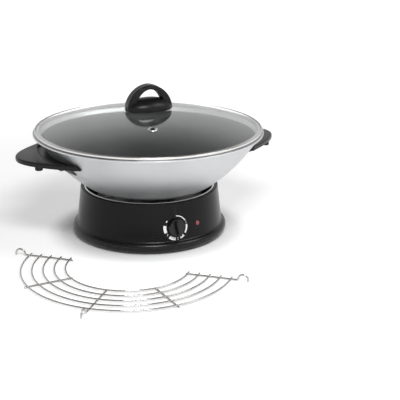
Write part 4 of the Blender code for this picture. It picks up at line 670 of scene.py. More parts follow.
# %% Gland bush and rubber feet
gland = turned("gland_bush", rounded([
    (0.0035, -0.0105), (0.0062, -0.0105), (0.0062, 0.0006), (0.0085, 0.0006, 0.0003),
    (0.0085, 0.0026, 0.0006), (0.0062, 0.0046, 0.0006), (0.0035, 0.0046, 0.0005)]), 64)
dress(placed(gland, gland_frame), base_plastic, "base", "black_plastic", "cord_gland")

FOOT_RING = 0.098
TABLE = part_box("foot_1")[0].z
for number in range(1, 5):
    place = round_base(FOOT_RING, math.radians(45 + 90 * (number - 1)), 0)
    pad = turned(f"foot_pad_{number}", rounded([
        (0, TABLE), (0.009, TABLE, 0.0010), (0.009, -FIT, 0.0004), (0.003, -FIT), (0.003, 0.0033),
        (0.0036, 0.0033), (0.003, 0.0053, 0.0005), (0, 0.0053)]), 48)
    dress(placed(pad, Matrix.Translation(place)), rubber, "base", "rubber", f"foot_{number}")

# %% [markdown]
# The reflector is a spun sheet bowl. Its edge is rolled over into a tube, and that roll is the bright
# ring round the foot of the wok. Its profile goes up the wall, round the roll and back under the floor.
# Only the roll stays bright: the wall within it is painted near black, as painted shade under the bowl,
# and the floor is a duller steel; each has its finish.

# %% Reflector with its rolled rim
FLOOR_LOW = 0.047
SHEET = 0.001
DULL_RADIUS = 0.0895                             # of the floor, without its hollow edge
roll_centre = (RING_RADIUS, SHELL_TOP - RING_TUBE)
reflector = turned("ring_reflector", rounded(
    [(0.0108, FLOOR_LOW + SHEET), (0.0900, FLOOR_LOW + SHEET, 0.0020)]
    + oval(roll_centre, (RING_TUBE, RING_TUBE), 180, -90, 24)
    + [(0.1022, SHELL_TOP - 2 * RING_TUBE), (0.0905, FLOOR_LOW, 0.0025), (0.0108, FLOOR_LOW)]))
LEG_PLACES = ((-0.0113, 0.0576, 0), (0.0113, 0.0576, 0))
LEG_HOLE = 0.005
for leg_place in LEG_PLACES:
    bore(reflector, LEG_HOLE, FLOOR_LOW - 0.002, FLOOR_LOW + 0.003, Matrix.Translation(leg_place))
dress(reflector, ring_steel, "base", "bright_steel", "reflector_bowl")
# The wall inside the roll: painted shade, near black where the bowl shades it.
finish_within(reflector, painted_shade_steel, RING_RADIUS - RING_TUBE * 0.6)
finish_within(reflector, dull_steel, DULL_RADIUS)

# %% [markdown]
# The heating element is a steel tube bent into a ring that is open at the back, where both ends turn
# down through the reflector. The path is an arc of a circle and two quarter bends, and the tube's side
# vector points away from the axis all along it, so the tube never twists.

# %% Heating ring
ELEMENT_RADIUS = 0.058
ELEMENT_Z = 0.068
BEND = 0.009
LEG_END = 0.032
ELEMENT_TUBE = 0.004                             # radius of the tube
HALF_GAP = math.radians(20)


def element_path():
    """The ring from end to end, with a quarter bend and a straight leg at each end."""
    angle = np.linspace(math.pi / 2 + HALF_GAP, math.pi / 2 + HALF_GAP + math.tau - 2 * HALF_GAP, 120)
    side = np.stack([np.cos(angle), np.sin(angle), 0 * angle], axis=-1)
    ring = side * ELEMENT_RADIUS + (0, 0, ELEMENT_Z)
    turn = np.radians(np.linspace(0, 90, 10))[1:, None]
    legs = []
    for end, sense in ((0, -1), (-1, 1)):
        on = np.array((-side[end][1], side[end][0], 0)) * sense
        bend = ring[end] + on * BEND * np.sin(turn) - np.array((0, 0, BEND)) * (1 - np.cos(turn))
        foot = bend[-1] * (1, 1, 0) + (0, 0, LEG_END)
        legs.append(np.vstack([bend, np.linspace(bend[-1], foot, 4)[1:]]))
    path = np.vstack([legs[0][::-1], ring, legs[1]])
    sides = np.vstack([np.repeat(side[:1], len(legs[0]), 0), side,
                       np.repeat(side[-1:], len(legs[1]), 0)])
    return path, sides


ring_path, ring_sides = element_path()
heating_ring = skin("heating_ring", wire_rows(ring_path, ELEMENT_TUBE, ring_sides, 20))
dress(heating_ring, sheath, "base", "element_sheath", "heating_element")

# %% Feeler of the thermostat, in the middle
feeler_guide = turned("feeler_guide", rounded([
    (0, 0.0415), (0.0105, 0.0415, 0.0008), (0.0105, 0.0483), (0.0135, 0.0483, 0.0003),
    (0.0135, 0.0495, 0.0003), (0.0105, 0.0495, 0.0005), (0.0105, 0.0620, 0.0005),
    (0.0090, 0.0620, 0.0005), (0.0090, 0.0430), (0, 0.0430)]), 64)
dress(feeler_guide, polished_steel, "base", "bright_steel", "sensor_guide")
cap_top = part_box("sensor_cap")[1].z
feeler_cap = turned("feeler_cap", rounded([
    (0, cap_top - 0.0012), (0.0077, cap_top - 0.0012, 0.0004), (0.0077, cap_top - 0.015),
    (0.0087, cap_top - 0.015, 0.0003), (0.0087, cap_top, 0.0012), (0, cap_top)]), 64)
dress(feeler_cap, polished_steel, "sensor", "bright_steel", "sensor_cap")

# %% [markdown]
# The spring under the cap stands in the guide, so it rides on the base, and it gets a mesh of its own.

# %% Spring of the feeler
SPRING_WIRE = 0.00045
SPRING_TURNS = 7
spring_low, spring_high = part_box("sensor_spring")


def spring_path():
    """A coil (r cos a, r sin a, z) whose z rises evenly, and the side that points out from the axis."""
    angle = np.linspace(0, SPRING_TURNS * math.tau, SPRING_TURNS * 24 + 1)
    side = np.stack([np.cos(angle), np.sin(angle), 0 * angle], axis=-1)
    height = np.linspace(spring_low.z + SPRING_WIRE, spring_high.z - SPRING_WIRE, len(angle))
    return side * (spring_high.x - SPRING_WIRE) + height[:, None] * (0, 0, 1), side


coil, coil_side = spring_path()
feeler_spring = skin("feeler_spring", wire_rows(coil, SPRING_WIRE, coil_side, 10))
dress(feeler_spring, zinc, "base", "zinc_steel", "sensor_spring")
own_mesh(feeler_spring)

# %% [markdown]
# The dial is a disc with a bar across it to hold. The disc is turned. The bar is a stack of rounded
# oblongs that narrow towards the top, and it is welded on with a Boolean so that the dial stays one
# body. It stands a little turned from upright, as in the picture.

# %% Dial
DIAL_RADIUS = 0.0135
DIAL_TURN = math.radians(10)
DISC_LOW, DISC_TOP, GRIP_TOP = 0.0012, 0.0067, 0.0152
GRIP_ROUND = 0.0012
GRIP_POWER = 5.0                 # 2 would be an ellipse, and more is closer to a rectangle
GRIP_STEPS = 64


def oblong(half_width, half_length, height):
    """A superoval: (a |cos t|^(2/p), b |sin t|^(2/p)) with the signs of cosine and sine."""
    turn = np.arange(GRIP_STEPS) * math.tau / GRIP_STEPS
    x = half_width * np.sign(np.cos(turn)) * np.abs(np.cos(turn)) ** (2 / GRIP_POWER)
    y = half_length * np.sign(np.sin(turn)) * np.abs(np.sin(turn)) ** (2 / GRIP_POWER)
    return np.stack([x, y, np.full(GRIP_STEPS, height)], axis=-1)


def grip_rows():
    """Oblongs from inside the disc up to the crown, where quarter-circle steps round the top."""
    rows = [oblong(SAME, SAME, DISC_TOP - 0.001) * (0, 0, 1), oblong(0.0035, 0.0120, DISC_TOP - 0.001),
            oblong(0.0033, 0.0119, DISC_TOP + 0.001)]
    for turn in np.radians(np.linspace(0, 90, 7)):
        shrink = GRIP_ROUND * (1 - math.cos(turn))
        rows.append(oblong(0.0027 - shrink, 0.0117 - shrink,
                           GRIP_TOP - GRIP_ROUND * (1 - math.sin(turn))))
    rows.append(oblong(SAME, SAME, GRIP_TOP) * (0, 0, 1))
    return rows


dial = turned("dial_moulding", rounded([
    (0, 0.0046), (0.0085, 0.0046), (0.0085, DISC_LOW), (DIAL_RADIUS, DISC_LOW, 0.0003),
    (DIAL_RADIUS, DISC_TOP, 0.0012), (0, DISC_TOP)]), 96)
combine(dial, skin("dial_grip", grip_rows()), "UNION")
dress(placed(dial, dial_frame @ Matrix.Rotation(DIAL_TURN, 4, "Z")), dial_plastic, "dial",
      "black_plastic", "dial_knob")

# %% [markdown]
# The scale round the dial is printed ink: a short thin mark, then bars that get thinner on the way
# round, with the numbers 1 to 3 between them. Each bar is an arc of a ring, worked out flat in the
# dial's plane and then laid on the cone of the wall, a hair proud of it, so that it bends with the
# wall. The numbers are text made into a mesh and laid on in the same way.

# %% Printed scale
INK = 0.00012
SCALE_RADIUS = 0.0180
# Each bar: from and to in degrees, counter-clockwise from 3 o'clock, and its width in metres.
SCALE_BARS = (
    (140, 149, 0.0016), (167, 204, 0.0046), (231, 265, 0.0046), (290, 312, 0.0044),
    (324, 368, 0.0026), (30, 88, 0.0014))
SCALE_NUMBERS = (("1", 19), ("2", 277), ("3", 217))
NUMBER_SIZE = 0.0052


def laid_on_wall(flat):
    """(x, y, proud) in the dial's plane becomes (x, -sqrt(r^2 - x^2), z), where z goes up the wall
    with y, and r is the wall's radius there plus what the ink stands proud."""
    height = DIAL_HEIGHT + flat[..., 1] * math.cos(WALL_LEAN)
    radius = wall_radius(height) + flat[..., 2]
    return np.stack([flat[..., 0], -np.sqrt(radius ** 2 - flat[..., 0] ** 2), height], axis=-1)


def scale_bar(start, end, width):
    """One arc of ink: four-cornered sections from one angle to the other, with flat ends."""
    angle = np.radians(np.linspace(start, end, 24))[:, None]
    section = np.array([(-1, 0), (1, 0), (1, 1), (-1, 1)]) * (width / 2, INK)
    reach = SCALE_RADIUS + section[:, 0]
    flat = np.stack([reach * np.cos(angle), reach * np.sin(angle), section[:, 1] + 0 * angle], axis=-1)
    return skin("bar", capped(laid_on_wall(flat)))


def scale_number(sign, angle):
    """A digit as a thin mesh, centred on its place in the ring of bars."""
    text = bpy.data.curves.new("digit", "FONT")
    text.body, text.size, text.align_x, text.align_y = sign, NUMBER_SIZE, "CENTER", "CENTER"
    text.extrude, text.resolution_u = INK / 2, 3
    piece = in_scene("digit", text)
    mesh = evaluated_mesh(piece)
    bpy.data.objects.remove(piece)
    turn = math.radians(angle)
    place = (SCALE_RADIUS * math.cos(turn), SCALE_RADIUS * math.sin(turn), INK / 2)
    flat = points_of(mesh) + place
    mesh.vertices.foreach_set("co", laid_on_wall(flat).ravel())
    return as_piece("digit", mesh)


scale = joined("dial_scale", [scale_bar(*bar) for bar in SCALE_BARS]
               + [scale_number(*number) for number in SCALE_NUMBERS])
dress(scale, scale_ink, "base", "white_plastic")

# %% Pilot lens
LENS_RADIUS = 0.0035
LENS_PROUD = 0.0009
LENS_DEPTH = 0.0085
lens_crown = [(LENS_RADIUS * math.cos(turn), LENS_PROUD * math.sin(turn))
              for turn in np.radians(np.linspace(0, 90, 9))[:-1]]
lens = turned("pilot_lens", [(0, -LENS_DEPTH), (LENS_RADIUS, -LENS_DEPTH)] + lens_crown
              + [(0, LENS_PROUD)], 48)
dress(placed(lens, lamp_frame), lens_red, "base", "red_lens", "lamp_lens")

# %% [markdown]
# The bowl's wall is part of a circle in section, with a flat floor and a thick rim turned outwards. The
# circle is worked out from its two ends and how far it stands off its chord, as a pattern maker would,
# so the curve meets foot and rim exactly. The inner wall is the same circle made smaller by the wall.

# %% Lines of the bowl
pan_low, pan_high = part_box("pan")
RIM_RADIUS = pan_high.x
RIM_TOP = pan_high.z
RIM_LOW = RIM_TOP - 0.0028
BOWL_FOOT = (0.1000, pan_low.z)
BOWL_HEAD = (RIM_RADIUS - 0.0054, RIM_LOW)
BOWL_BULGE = 0.0065
BOWL_WALL = 0.003
FLOOR_TOP = pan_low.z + 0.004
BARE_STRIP = 0.0105            # silver below the rim, before the non-stick begins


def bowl_circle():
    """Centre and radius of the wall's circle: r = (chord^2 / 4 + bulge^2) / (2 bulge)."""
    foot, head = np.array(BOWL_FOOT), np.array(BOWL_HEAD)
    chord = head - foot
    radius = (chord @ chord / 4 + BOWL_BULGE ** 2) / (2 * BOWL_BULGE)
    outward = np.array((chord[1], -chord[0])) / np.linalg.norm(chord)
    return (foot + head) / 2 - outward * (radius - BOWL_BULGE), radius


CIRCLE_CENTRE, CIRCLE_RADIUS = bowl_circle()


def bowl_radius(height, inside=0.0):
    """Radius of the bowl's wall at a height, a distance inside its outer face."""
    return CIRCLE_CENTRE[0] + np.sqrt((CIRCLE_RADIUS - inside) ** 2 - (height - CIRCLE_CENTRE[1]) ** 2)


def wall_line(low, high, inside, steps):
    """Points of the wall between two heights, closer together near the floor, where it curves most."""
    height = low + (high - low) * np.linspace(0, 1, steps + 1) ** 1.3
    return np.stack([bowl_radius(height, inside), height], axis=-1)


# %% Bowl
def bowl_profile():
    """Underside, outer wall, rim, inner wall and floor."""
    outer = wall_line(BOWL_FOOT[1], BOWL_HEAD[1], 0.0, 30)
    inner = wall_line(FLOOR_TOP, RIM_TOP, BOWL_WALL, 60)[::-1]
    corners = [(0, BOWL_FOOT[1]), (0.040, BOWL_FOOT[1]), (*BOWL_FOOT, 0.0015)]
    corners += outer[3:-1].tolist() + [(*outer[-1], 0.0010)]
    corners += [(RIM_RADIUS, RIM_LOW, 0.0009), (RIM_RADIUS, RIM_TOP, 0.0009), (*inner[0], 0.0008)]
    corners += inner[2:-5].tolist() + [(*inner[-1], 0.006), (0.040, FLOOR_TOP), (0, FLOOR_TOP)]
    return rounded(corners)


def mark_coats(mesh):
    """1 where a point is inside the wall's middle line and below the bare strip, and 0 elsewhere."""
    co = points_of(mesh)
    radius, height = np.hypot(co[:, 0], co[:, 1]), co[:, 2]
    middle = bowl_radius(np.clip(height, BOWL_FOOT[1], None), BOWL_WALL / 2)
    inside = ((radius < middle) & (height > BOWL_FOOT[1] + BOWL_WALL / 2)
              & (height < RIM_TOP - BARE_STRIP))
    coat = mesh.attributes.new(COAT_ATTRIBUTE, "FLOAT", "POINT")
    coat.data.foreach_set("value", inside.astype(float))
    return int(inside.sum())


bowl = turned("wok_bowl", bowl_profile(), 256)
print("points with non-stick:", mark_coats(bowl.data))
dress(bowl, bowl_finish, "pan", "silver_coating", "pan")

plate_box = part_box("pan_spreader")
PLATE_RADIUS = plate_box[1].x
plate_low, plate_high = (corner.z for corner in plate_box)
plate = turned("heat_plate", rounded([
    (0, plate_low), (0.04, plate_low), (PLATE_RADIUS - 0.001, plate_low, 0.0003),
    (PLATE_RADIUS, plate_low + 0.001, 0.0003), (PLATE_RADIUS, plate_high, 0.0003), (0, plate_high)]))
dress(plate, machined_plate, "pan", "spreader_alloy", "pan_spreader")

# %% [markdown]
# Each handle is a wing that hugs the wall. Its section changes all along: a sunk step beside the wall,
# a slope up to the flat top, a rounded outer edge, and a thicker root over the bracket. The section is
# an outline of eight corners, which are functions of the distance along the wing, worked out for all
# the stations at once. The last stations shrink to points by a quarter circle, which rounds the tips.

# %% Lines of the wing handles
HANDLE_TOP = RIM_TOP - 0.0232
HANDLE_EDGE = 0.0075
HANDLE_LOW = HANDLE_TOP - HANDLE_EDGE
HALF_SPAN = 0.083
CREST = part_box("handle_right")[1].x
TIP_THICKNESS = 0.0035
STEP_DEPTH, STEP_WIDTH, STEP_SLOPE = 0.0040, 0.0130, 0.0030
EDGE_ROUND = 0.0025
ROOT_DEPTH = 0.003
BRACKET_HALF_SPAN, BRACKET_TAB = 0.054, 0.016
TIP_SHARE = 0.2


def wall_distance(along, height):
    """Distance along X from the bowl's middle plane to its wall: sqrt(r^2 - y^2), with a small gap."""
    return np.sqrt((bowl_radius(height) + 0.0005) ** 2 - along ** 2)


def wing_corners(along):
    """The eight corners of the wing's section at each distance along it, as (reach, height,
    rounding)."""
    tip = wall_distance(HALF_SPAN, HANDLE_TOP) + TIP_THICKNESS
    outer = tip + (CREST - tip) * np.cos(np.pi / 2 * np.abs(along) / HALF_SPAN)
    root = wall_distance(along, HANDLE_TOP - STEP_DEPTH)
    room = outer - root
    step = root + np.minimum(STEP_WIDTH, 0.4 * room)
    slope = np.minimum(STEP_SLOPE, room / 6)
    fade = TIP_SHARE + (HALF_SPAN - np.abs(along)) / (HALF_SPAN - BRACKET_HALF_SPAN - ROOT_DEPTH)
    low = HANDLE_LOW - ROOT_DEPTH * np.minimum(1, fade)
    pad = wall_distance(along, low) + np.minimum(BRACKET_TAB, room / 2)
    edge = np.minimum(EDGE_ROUND, room / 4)
    small = np.minimum(0.0010, room / 12)
    sunk = 0 * along + HANDLE_TOP - STEP_DEPTH
    top, under = 0 * along + HANDLE_TOP, 0 * along + HANDLE_LOW
    return [(root, sunk, small), (step, sunk, 1.5 * small), (step + slope, top, 1.5 * small),
            (outer, top, edge), (outer, under, edge), (pad + slope, under, small),
            (pad, low, small), (wall_distance(along, low), low, small)]


def rounded_sections(corners, steps=5):
    """Round each corner of many sections at once with the curve (1-t)^2 a + 2t(1-t) p + t^2 b, where a
    and b lie on the sides, a rounding away from the corner p."""
    spots = np.stack([np.stack(corner[:2], axis=-1) for corner in corners], axis=1)
    sizes = np.stack([corner[2] for corner in corners], axis=1)[..., None]
    back, on = np.roll(spots, 1, axis=1) - spots, np.roll(spots, -1, axis=1) - spots
    back_length, on_length = (np.linalg.norm(one, axis=-1, keepdims=True) for one in (back, on))
    sizes = np.minimum(sizes, 0.45 * np.minimum(back_length, on_length))
    start, end = spots + back / back_length * sizes, spots + on / on_length * sizes
    share = np.linspace(0, 1, steps + 1)[:, None]
    curve = ((1 - share) ** 2 * start[:, :, None] + 2 * share * (1 - share) * spots[:, :, None]
             + share ** 2 * end[:, :, None])
    return curve.reshape(len(spots), -1, 2)


# %% Wing handles
TIP_ROUND = 0.0022


def wing_rows():
    """Rows of (x, y, z) along the wing at +X; near the tips each section shrinks about its middle by
    sqrt(1 - u^2), where u goes from 0 to 1 over the tip's rounding."""
    lean = np.radians(np.linspace(-90, 90, 72))
    along = (HALF_SPAN - TIP_ROUND) * np.sin(lean)
    cap = HALF_SPAN - TIP_ROUND + TIP_ROUND * np.sin(np.radians(np.linspace(0, 90, 7))[1:])
    along = np.concatenate([-cap[::-1], along, cap])
    flat = rounded_sections(wing_corners(np.clip(along, -HALF_SPAN + SAME, HALF_SPAN - SAME)))
    over = np.clip((np.abs(along) - HALF_SPAN + TIP_ROUND) / TIP_ROUND, 0, 1)
    size = np.sqrt(1 - over ** 2)[:, None, None]
    middle = flat.mean(axis=1, keepdims=True)
    flat = middle + (flat - middle) * size
    across = np.broadcast_to(along[:, None], flat.shape[:2])
    return np.stack([flat[..., 0], across, flat[..., 1]], axis=-1)


FOOT_REACH = CREST - 0.0255
FOOT_SIDE = 0.037
BOSS_RADIUS, BOSS_DROP = 0.006, 0.0056
for side, turn in (("right", 0.0), ("left", math.pi)):
    wing = skin(f"wing_{side}", wing_rows())
    for across in (-FOOT_SIDE, FOOT_SIDE):
        boss = turned("boss", rounded([
            (0, HANDLE_LOW - BOSS_DROP), (BOSS_RADIUS, HANDLE_LOW - BOSS_DROP, 0.0015),
            (BOSS_RADIUS, HANDLE_LOW + 0.0035), (0, HANDLE_LOW + 0.0035)]), 48)
        combine(wing, placed(boss, Matrix.Translation((FOOT_REACH, across, 0))), "UNION")
    placed(wing, Matrix.Rotation(turn, 4, "Z"))
    dress(wing, handle_plastic, "pan", "handle_plastic", f"handle_{side}")

# %% [markdown]
# The lid is a shallow cap of a large sphere, 2.6 mm thick, with a ground edge. A steel band is folded
# round the edge. The band's lower outer corner is well rounded, which leaves a dark groove between band
# and bowl: that dark line between two bright ones is what makes the rim look real.

# %% Lid glass
GLASS_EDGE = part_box("lid_glass")[1].x
GLASS_APEX = 0.1970
GLASS_RISE = 0.0284
GLASS_WALL = 0.0026
DOME_RADIUS = (GLASS_EDGE ** 2 + GLASS_RISE ** 2) / (2 * GLASS_RISE)
SCREW_HOLE = 0.0026


def dome_height(radius):
    """Height of the glass's upper face: apex - R + sqrt(R^2 - r^2)."""
    return GLASS_APEX - DOME_RADIUS + np.sqrt(DOME_RADIUS ** 2 - np.asarray(radius, float) ** 2)


def glass_profile():
    """Upper face from the hole to the edge, and the lower face back."""
    reach = np.linspace(SCREW_HOLE, GLASS_EDGE, 62)
    upper = np.stack([reach, dome_height(reach)], axis=-1).tolist()
    lower = np.stack([reach, dome_height(reach) - GLASS_WALL], axis=-1).tolist()[::-1]
    return rounded([*upper[:-1], (*upper[-1], 0.0006), (*lower[0], 0.0006), *lower[1:]])


VENT_REACH = 0.0955
VENT_ANGLE = math.radians(-17)
vent_frame = (Matrix.Translation(round_base(VENT_REACH, VENT_ANGLE, float(dome_height(VENT_REACH))))
              @ Euler((math.asin(VENT_REACH / DOME_RADIUS), 0, VENT_ANGLE)).to_matrix().to_4x4())
VENT_HOLE = 0.0045
lid_dome = bore(turned("lid_dome", glass_profile()), VENT_HOLE, -GLASS_WALL - 0.002, 0.002, vent_frame)
dress(lid_dome, tempered_glass, "lid", "clear_glass", "lid_glass")

# %% Steel band of the lid
BAND_SHEET = 0.0004
BAND_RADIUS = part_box("lid_band")[1].x
BAND_LOW = RIM_TOP + FIT
SKIRT_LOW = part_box("lid_band")[0].z


def band_profile():
    """Outside of the fold, its lip on the glass, the groove for the glass, and the locating skirt."""
    skirt = float(bowl_radius(SKIRT_LOW, BOWL_WALL)) - 0.0012
    inside, lip = skirt - BAND_SHEET, BAND_RADIUS - 0.0016
    over = float(dome_height(GLASS_EDGE)) + FIT
    under = over - GLASS_WALL - 2 * FIT
    return rounded([
        (BAND_RADIUS, BAND_LOW, 0.0016), (BAND_RADIUS, over + BAND_SHEET, 0.0006),
        (lip, float(dome_height(lip)) + FIT + BAND_SHEET, 0.00018),
        (lip, float(dome_height(lip)) + FIT),
        (BAND_RADIUS - BAND_SHEET, over), (BAND_RADIUS - BAND_SHEET, under, 0.0004),
        (inside, float(dome_height(inside)) - GLASS_WALL - FIT), (inside, SKIRT_LOW, 0.0001),
        (skirt, SKIRT_LOW, 0.0001), (skirt, BAND_LOW)])


dress(turned("lid_rim", band_profile(), 256), polished_steel, "lid", "bright_steel", "lid_band")

# %% Steam vent
eyelet = turned("steam_eyelet", rounded([
    (0.0034, -0.0043), (0.0060, -0.0043, 0.0003), (0.0060, -0.0032), (0.0042, -0.0032),
    (0.0042, FIT), (0.0078, FIT, 0.0002), (0.0072, 0.0011, 0.0008), (0.0050, 0.0014, 0.0008),
    (0.0034, 0.0003, 0.0008)]), 96)
dress(eyelet, ring_steel, "lid", "bright_steel", "vent_eyelet")
# The bore of the vent: painted shade, near black inside the hole.
finish_within(eyelet, painted_shade_steel, 0.0038)
placed(eyelet, vent_frame)

# %% [markdown]
# The knob is an oval dome with a thick strap arched over it from end to end. The dome's rows are ovals
# that shrink as a quarter ellipse. The strap is an outline with bevelled edges carried over half of a
# slightly pointed ellipse. Its inner side is a smaller one, so it is slim at the top and stout at the
# legs.

# %% Knob
KNOB_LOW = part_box("knob")[0].z
KNOB_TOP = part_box("knob")[1].z
KNOB_LENGTH, KNOB_WIDTH = 0.0385, 0.0230
KNOB_FOOT = 0.0035
DOME_HIGH = 0.0200
ARCH_HALF_WIDTH = 0.00925
ARCH_BEVEL = 0.0018
ARCH_SPRING = KNOB_LOW + 0.0035
ARCH_OUTER = (0.0373, KNOB_TOP - ARCH_SPRING)
ARCH_POINT = 1.85                # 2 would be an ellipse, and less is more pointed
ARCH_INNER = (ARCH_OUTER[0] - 0.0135, ARCH_OUTER[1] - 0.0070)


def knob_dome_rows():
    """Ovals (L s cos t, W s sin t, z): the foot is straight, and above it s = cos u while z rises as
    sin u."""
    rise = np.radians(np.linspace(0, 90, 18))
    shares = [0, 0.965, 0.985, 0.997, 1.0, 1.0, *np.cos(rise[1:])]
    heights = [0, 0, 0.00015, 0.0005, 0.0010, KNOB_FOOT, *(KNOB_FOOT + (DOME_HIGH - KNOB_FOOT)
                                                          * np.sin(rise[1:]))]
    turn = np.arange(96) * math.tau / 96
    share, height = np.array(shares)[:, None], np.array(heights)[:, None]
    share[-1] = 0
    return np.stack([KNOB_LENGTH * share * np.cos(turn), KNOB_WIDTH * share * np.sin(turn),
                     KNOB_LOW + height + 0 * turn], axis=-1)


def knob_arch_rows():
    """The strap's outline at each step over the arch, (a |cos t|^(2/p), b sin t^(2/p)): a point lies a
    distance in from the outer side, or out from the inner side, along the line that joins the two."""
    thick, half = 0.007, ARCH_HALF_WIDTH
    outline = rounded([
        (0, -half + ARCH_BEVEL, 0.0008), (0, half - ARCH_BEVEL, 0.0008), (ARCH_BEVEL, half, 0.0008),
        (thick, half, 0.0012), (thick, -half, 0.0012), (ARCH_BEVEL, -half, 0.0008)], 4)
    from_inner = (outline[:, 0] > thick / 2)[:, None]
    offset = np.where(from_inner[:, 0], outline[:, 0] - thick, outline[:, 0])[:, None]
    turn = np.radians(np.linspace(0, 180, 65))[:, None, None]
    along = np.sign(np.cos(turn)) * np.abs(np.cos(turn)) ** (2 / ARCH_POINT)
    up = np.abs(np.sin(turn)) ** (2 / ARCH_POINT)
    outer, inner = (np.concatenate([reach * along, 0 * turn, ARCH_SPRING + rise * up], -1)
                    for reach, rise in (ARCH_OUTER, ARCH_INNER))
    inward = (inner - outer) / np.linalg.norm(inner - outer, axis=-1, keepdims=True)
    rows = np.where(from_inner, inner, outer) + inward * offset
    rows[..., 1] = outline[:, 1]
    drop = np.array((0, 0, ARCH_SPRING - KNOB_LOW - 0.0006))
    return capped(np.concatenate([rows[:1] - drop, rows, rows[-1:] - drop]))


knob = skin("knob_moulding", knob_dome_rows())
combine(knob, skin("knob_arch", knob_arch_rows()), "UNION")
dress(knob, handle_plastic, "lid", "handle_plastic", "knob")

# %% [markdown]
# The rack is welded wire: five half-round wires, and five bars below them that run out from the middle.
# Three of the bars end in hooks that hang on the bowl's rim. Each wire is a circle swept along a
# formula's path. One union then welds the wires to the bars, which makes the rack a single body.

# %% Rack
RACK_MIDDLE = round_base(SKIRT_RADIUS + 0.0496, math.radians(-31.16), 0)
RACK_DIRECTION = math.radians(-129.5)
RACK_BARS = (-90, -45, 0, 45, 90)
HOOKED = (-90, 0, 90)
WIRE_INNER, WIRE_OUTER = 0.093, 0.158
WIRE, BAR = 0.00125, 0.0015
WIRE_OVERHANG = 0.004            # beyond the half circle, round end included
BAR_Z = TABLE + BAR
WIRE_Z = BAR_Z + BAR + WIRE - 0.0006
HOOK_RISE, HOOK_REACH, HOOK_WIDTH = 0.0085, 0.010, 0.0145


def on_rack(reach, angle, height):
    """A place on the rack: its middle plus the reach turned by the angle from the rack's direction."""
    turn = RACK_DIRECTION + np.asarray(angle)
    return np.stack(np.broadcast_arrays(RACK_MIDDLE.x + reach * np.cos(turn),
                                        RACK_MIDDLE.y + reach * np.sin(turn), height), axis=-1)


def rack_wire_piece(reach):
    """One half-round wire, a little longer than the half circle at both ends."""
    spare = (WIRE_OVERHANG - WIRE) / reach
    angle = np.linspace(-math.pi / 2 - spare, math.pi / 2 + spare, 110)
    return skin("wire", wire_rows(on_rack(reach, angle, WIRE_Z), WIRE, (0, 0, 1)))


def rack_bar_piece(degrees):
    """One bar; a hooked one goes on over a half oval that stands up from the table."""
    angle = math.radians(degrees)
    line = [(WIRE_INNER - 2 * BAR, 0), (0.11, 0), (0.13, 0), (WIRE_OUTER, 0)]
    if degrees in HOOKED:
        half = HOOK_WIDTH / 2
        middle = WIRE_OUTER + HOOK_REACH + half
        hook = oval((middle, HOOK_RISE / 4), (half, HOOK_RISE * 3 / 4), 180, 0, 16)
        line += [(middle - half - HOOK_RISE / 4, 0, 0.0015), (*hook[0], 0.0008), *hook[2:],
                 (middle + half, 0)]
    else:
        line.append((WIRE_OUTER + 2 * BAR, 0))
    reach, rise = rounded(line).T
    side = (-math.sin(RACK_DIRECTION + angle), math.cos(RACK_DIRECTION + angle), 0)
    return skin("bar", wire_rows(on_rack(reach, angle, BAR_Z + rise), BAR, side))


WIRE_REACHES = np.linspace(WIRE_INNER, WIRE_OUTER, 5)
wires = joined("wire_rack", [rack_wire_piece(reach) for reach in WIRE_REACHES])
bars = joined("rack_bars", [rack_bar_piece(degrees) for degrees in RACK_BARS])
rack = combine(wires, bars, "UNION")
dress(rack, rack_wire, "rack", "bright_steel", "rack")

# %% [markdown]
# The rest of the wok is small and mostly hidden: cover, screws, clips, thermostat, wiring. Those nodes
# keep their plain shape, which is right, and only get their finishes.

# %% Finishes of the nodes that stay
KEPT = {
    base_plastic: ("bottom_cover", "thermostat_body", "lamp_holder"),
    zinc: ("thermal_fuse", "thermostat_shaft",
           *(f"{kind}_{number}" for kind in ("element_clip", "tie_screw", "tie_nut")
             for number in (1, 2, 3)),
           *(f"handle_screw_{side}_{number}" for side in ("left", "right") for number in (1, 2))),
    enamel: ("handle_bracket_left", "handle_bracket_right"),
    brass: ("thermostat_nut",),
    polished_steel: ("knob_screw",),
    rubber: ("knob_washer",),
    white_plastic: ("terminal_block",),
    red_sleeve: ("lead_block_to_thermostat", "lead_fuse_to_element", "lead_block_to_lamp"),
    blue_sleeve: ("lead_thermostat_to_fuse", "lead_element_to_block")}
for finish, names in KEPT.items():
    for name in names:
        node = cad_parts[name]
        node.data.materials.clear()
        node.data.materials.append(finish)
print("nodes that keep their own shape:", sum(len(names) for names in KEPT.values()))

# %% [markdown]
# The studio: a white floor that runs to the horizon, and a white surround. The floor's own glow is only
# for rays from the camera, mirrors and glass, so it looks white without lighting the wok. It fades out
# under the base, where it would fill the dark line of the shadow that shows the base stands there, and
# it rises only slowly over a band a few centimetres wide round the base: that dimmer band is painted
# shade
# on the floor. The surround is brighter near the horizon than above, as a room with big lit walls is:
# this makes the far half of the glass pale and the near half dark.

# %% Floor and surround
FLOOR_SIZE = 12.0
FLOOR_COLOUR = 0.82
FLOOR_GLOW = 0.36
# Between these two distances the floor's glow rises: the dimmer band round the base is painted shade.
GLOW_STARTS, GLOW_FULL = 0.126, 0.175      # distances from the wok's axis
FAR_GLOW = 0.60                            # added where the softboxes no longer reach the floor
FAR_STARTS, FAR_FULL = 0.30, 1.60          # distances from the wok's axis
LOW_LIGHT, HIGH_LIGHT = 0.74, 0.12         # the surround's strength near the horizon and above
LOW_END, HIGH_START = 0.40, 0.80           # sines of the elevations between which it fades


def seen_rays(tree):
    """1 for rays from the camera, a mirror or glass, and 0 for rays that carry light to a surface."""
    path = tree.nodes.new("ShaderNodeLightPath")
    both = maths(tree, "MAXIMUM", path.outputs["Is Camera Ray"], path.outputs["Is Glossy Ray"])
    return maths(tree, "MAXIMUM", both, path.outputs["Is Transmission Ray"])


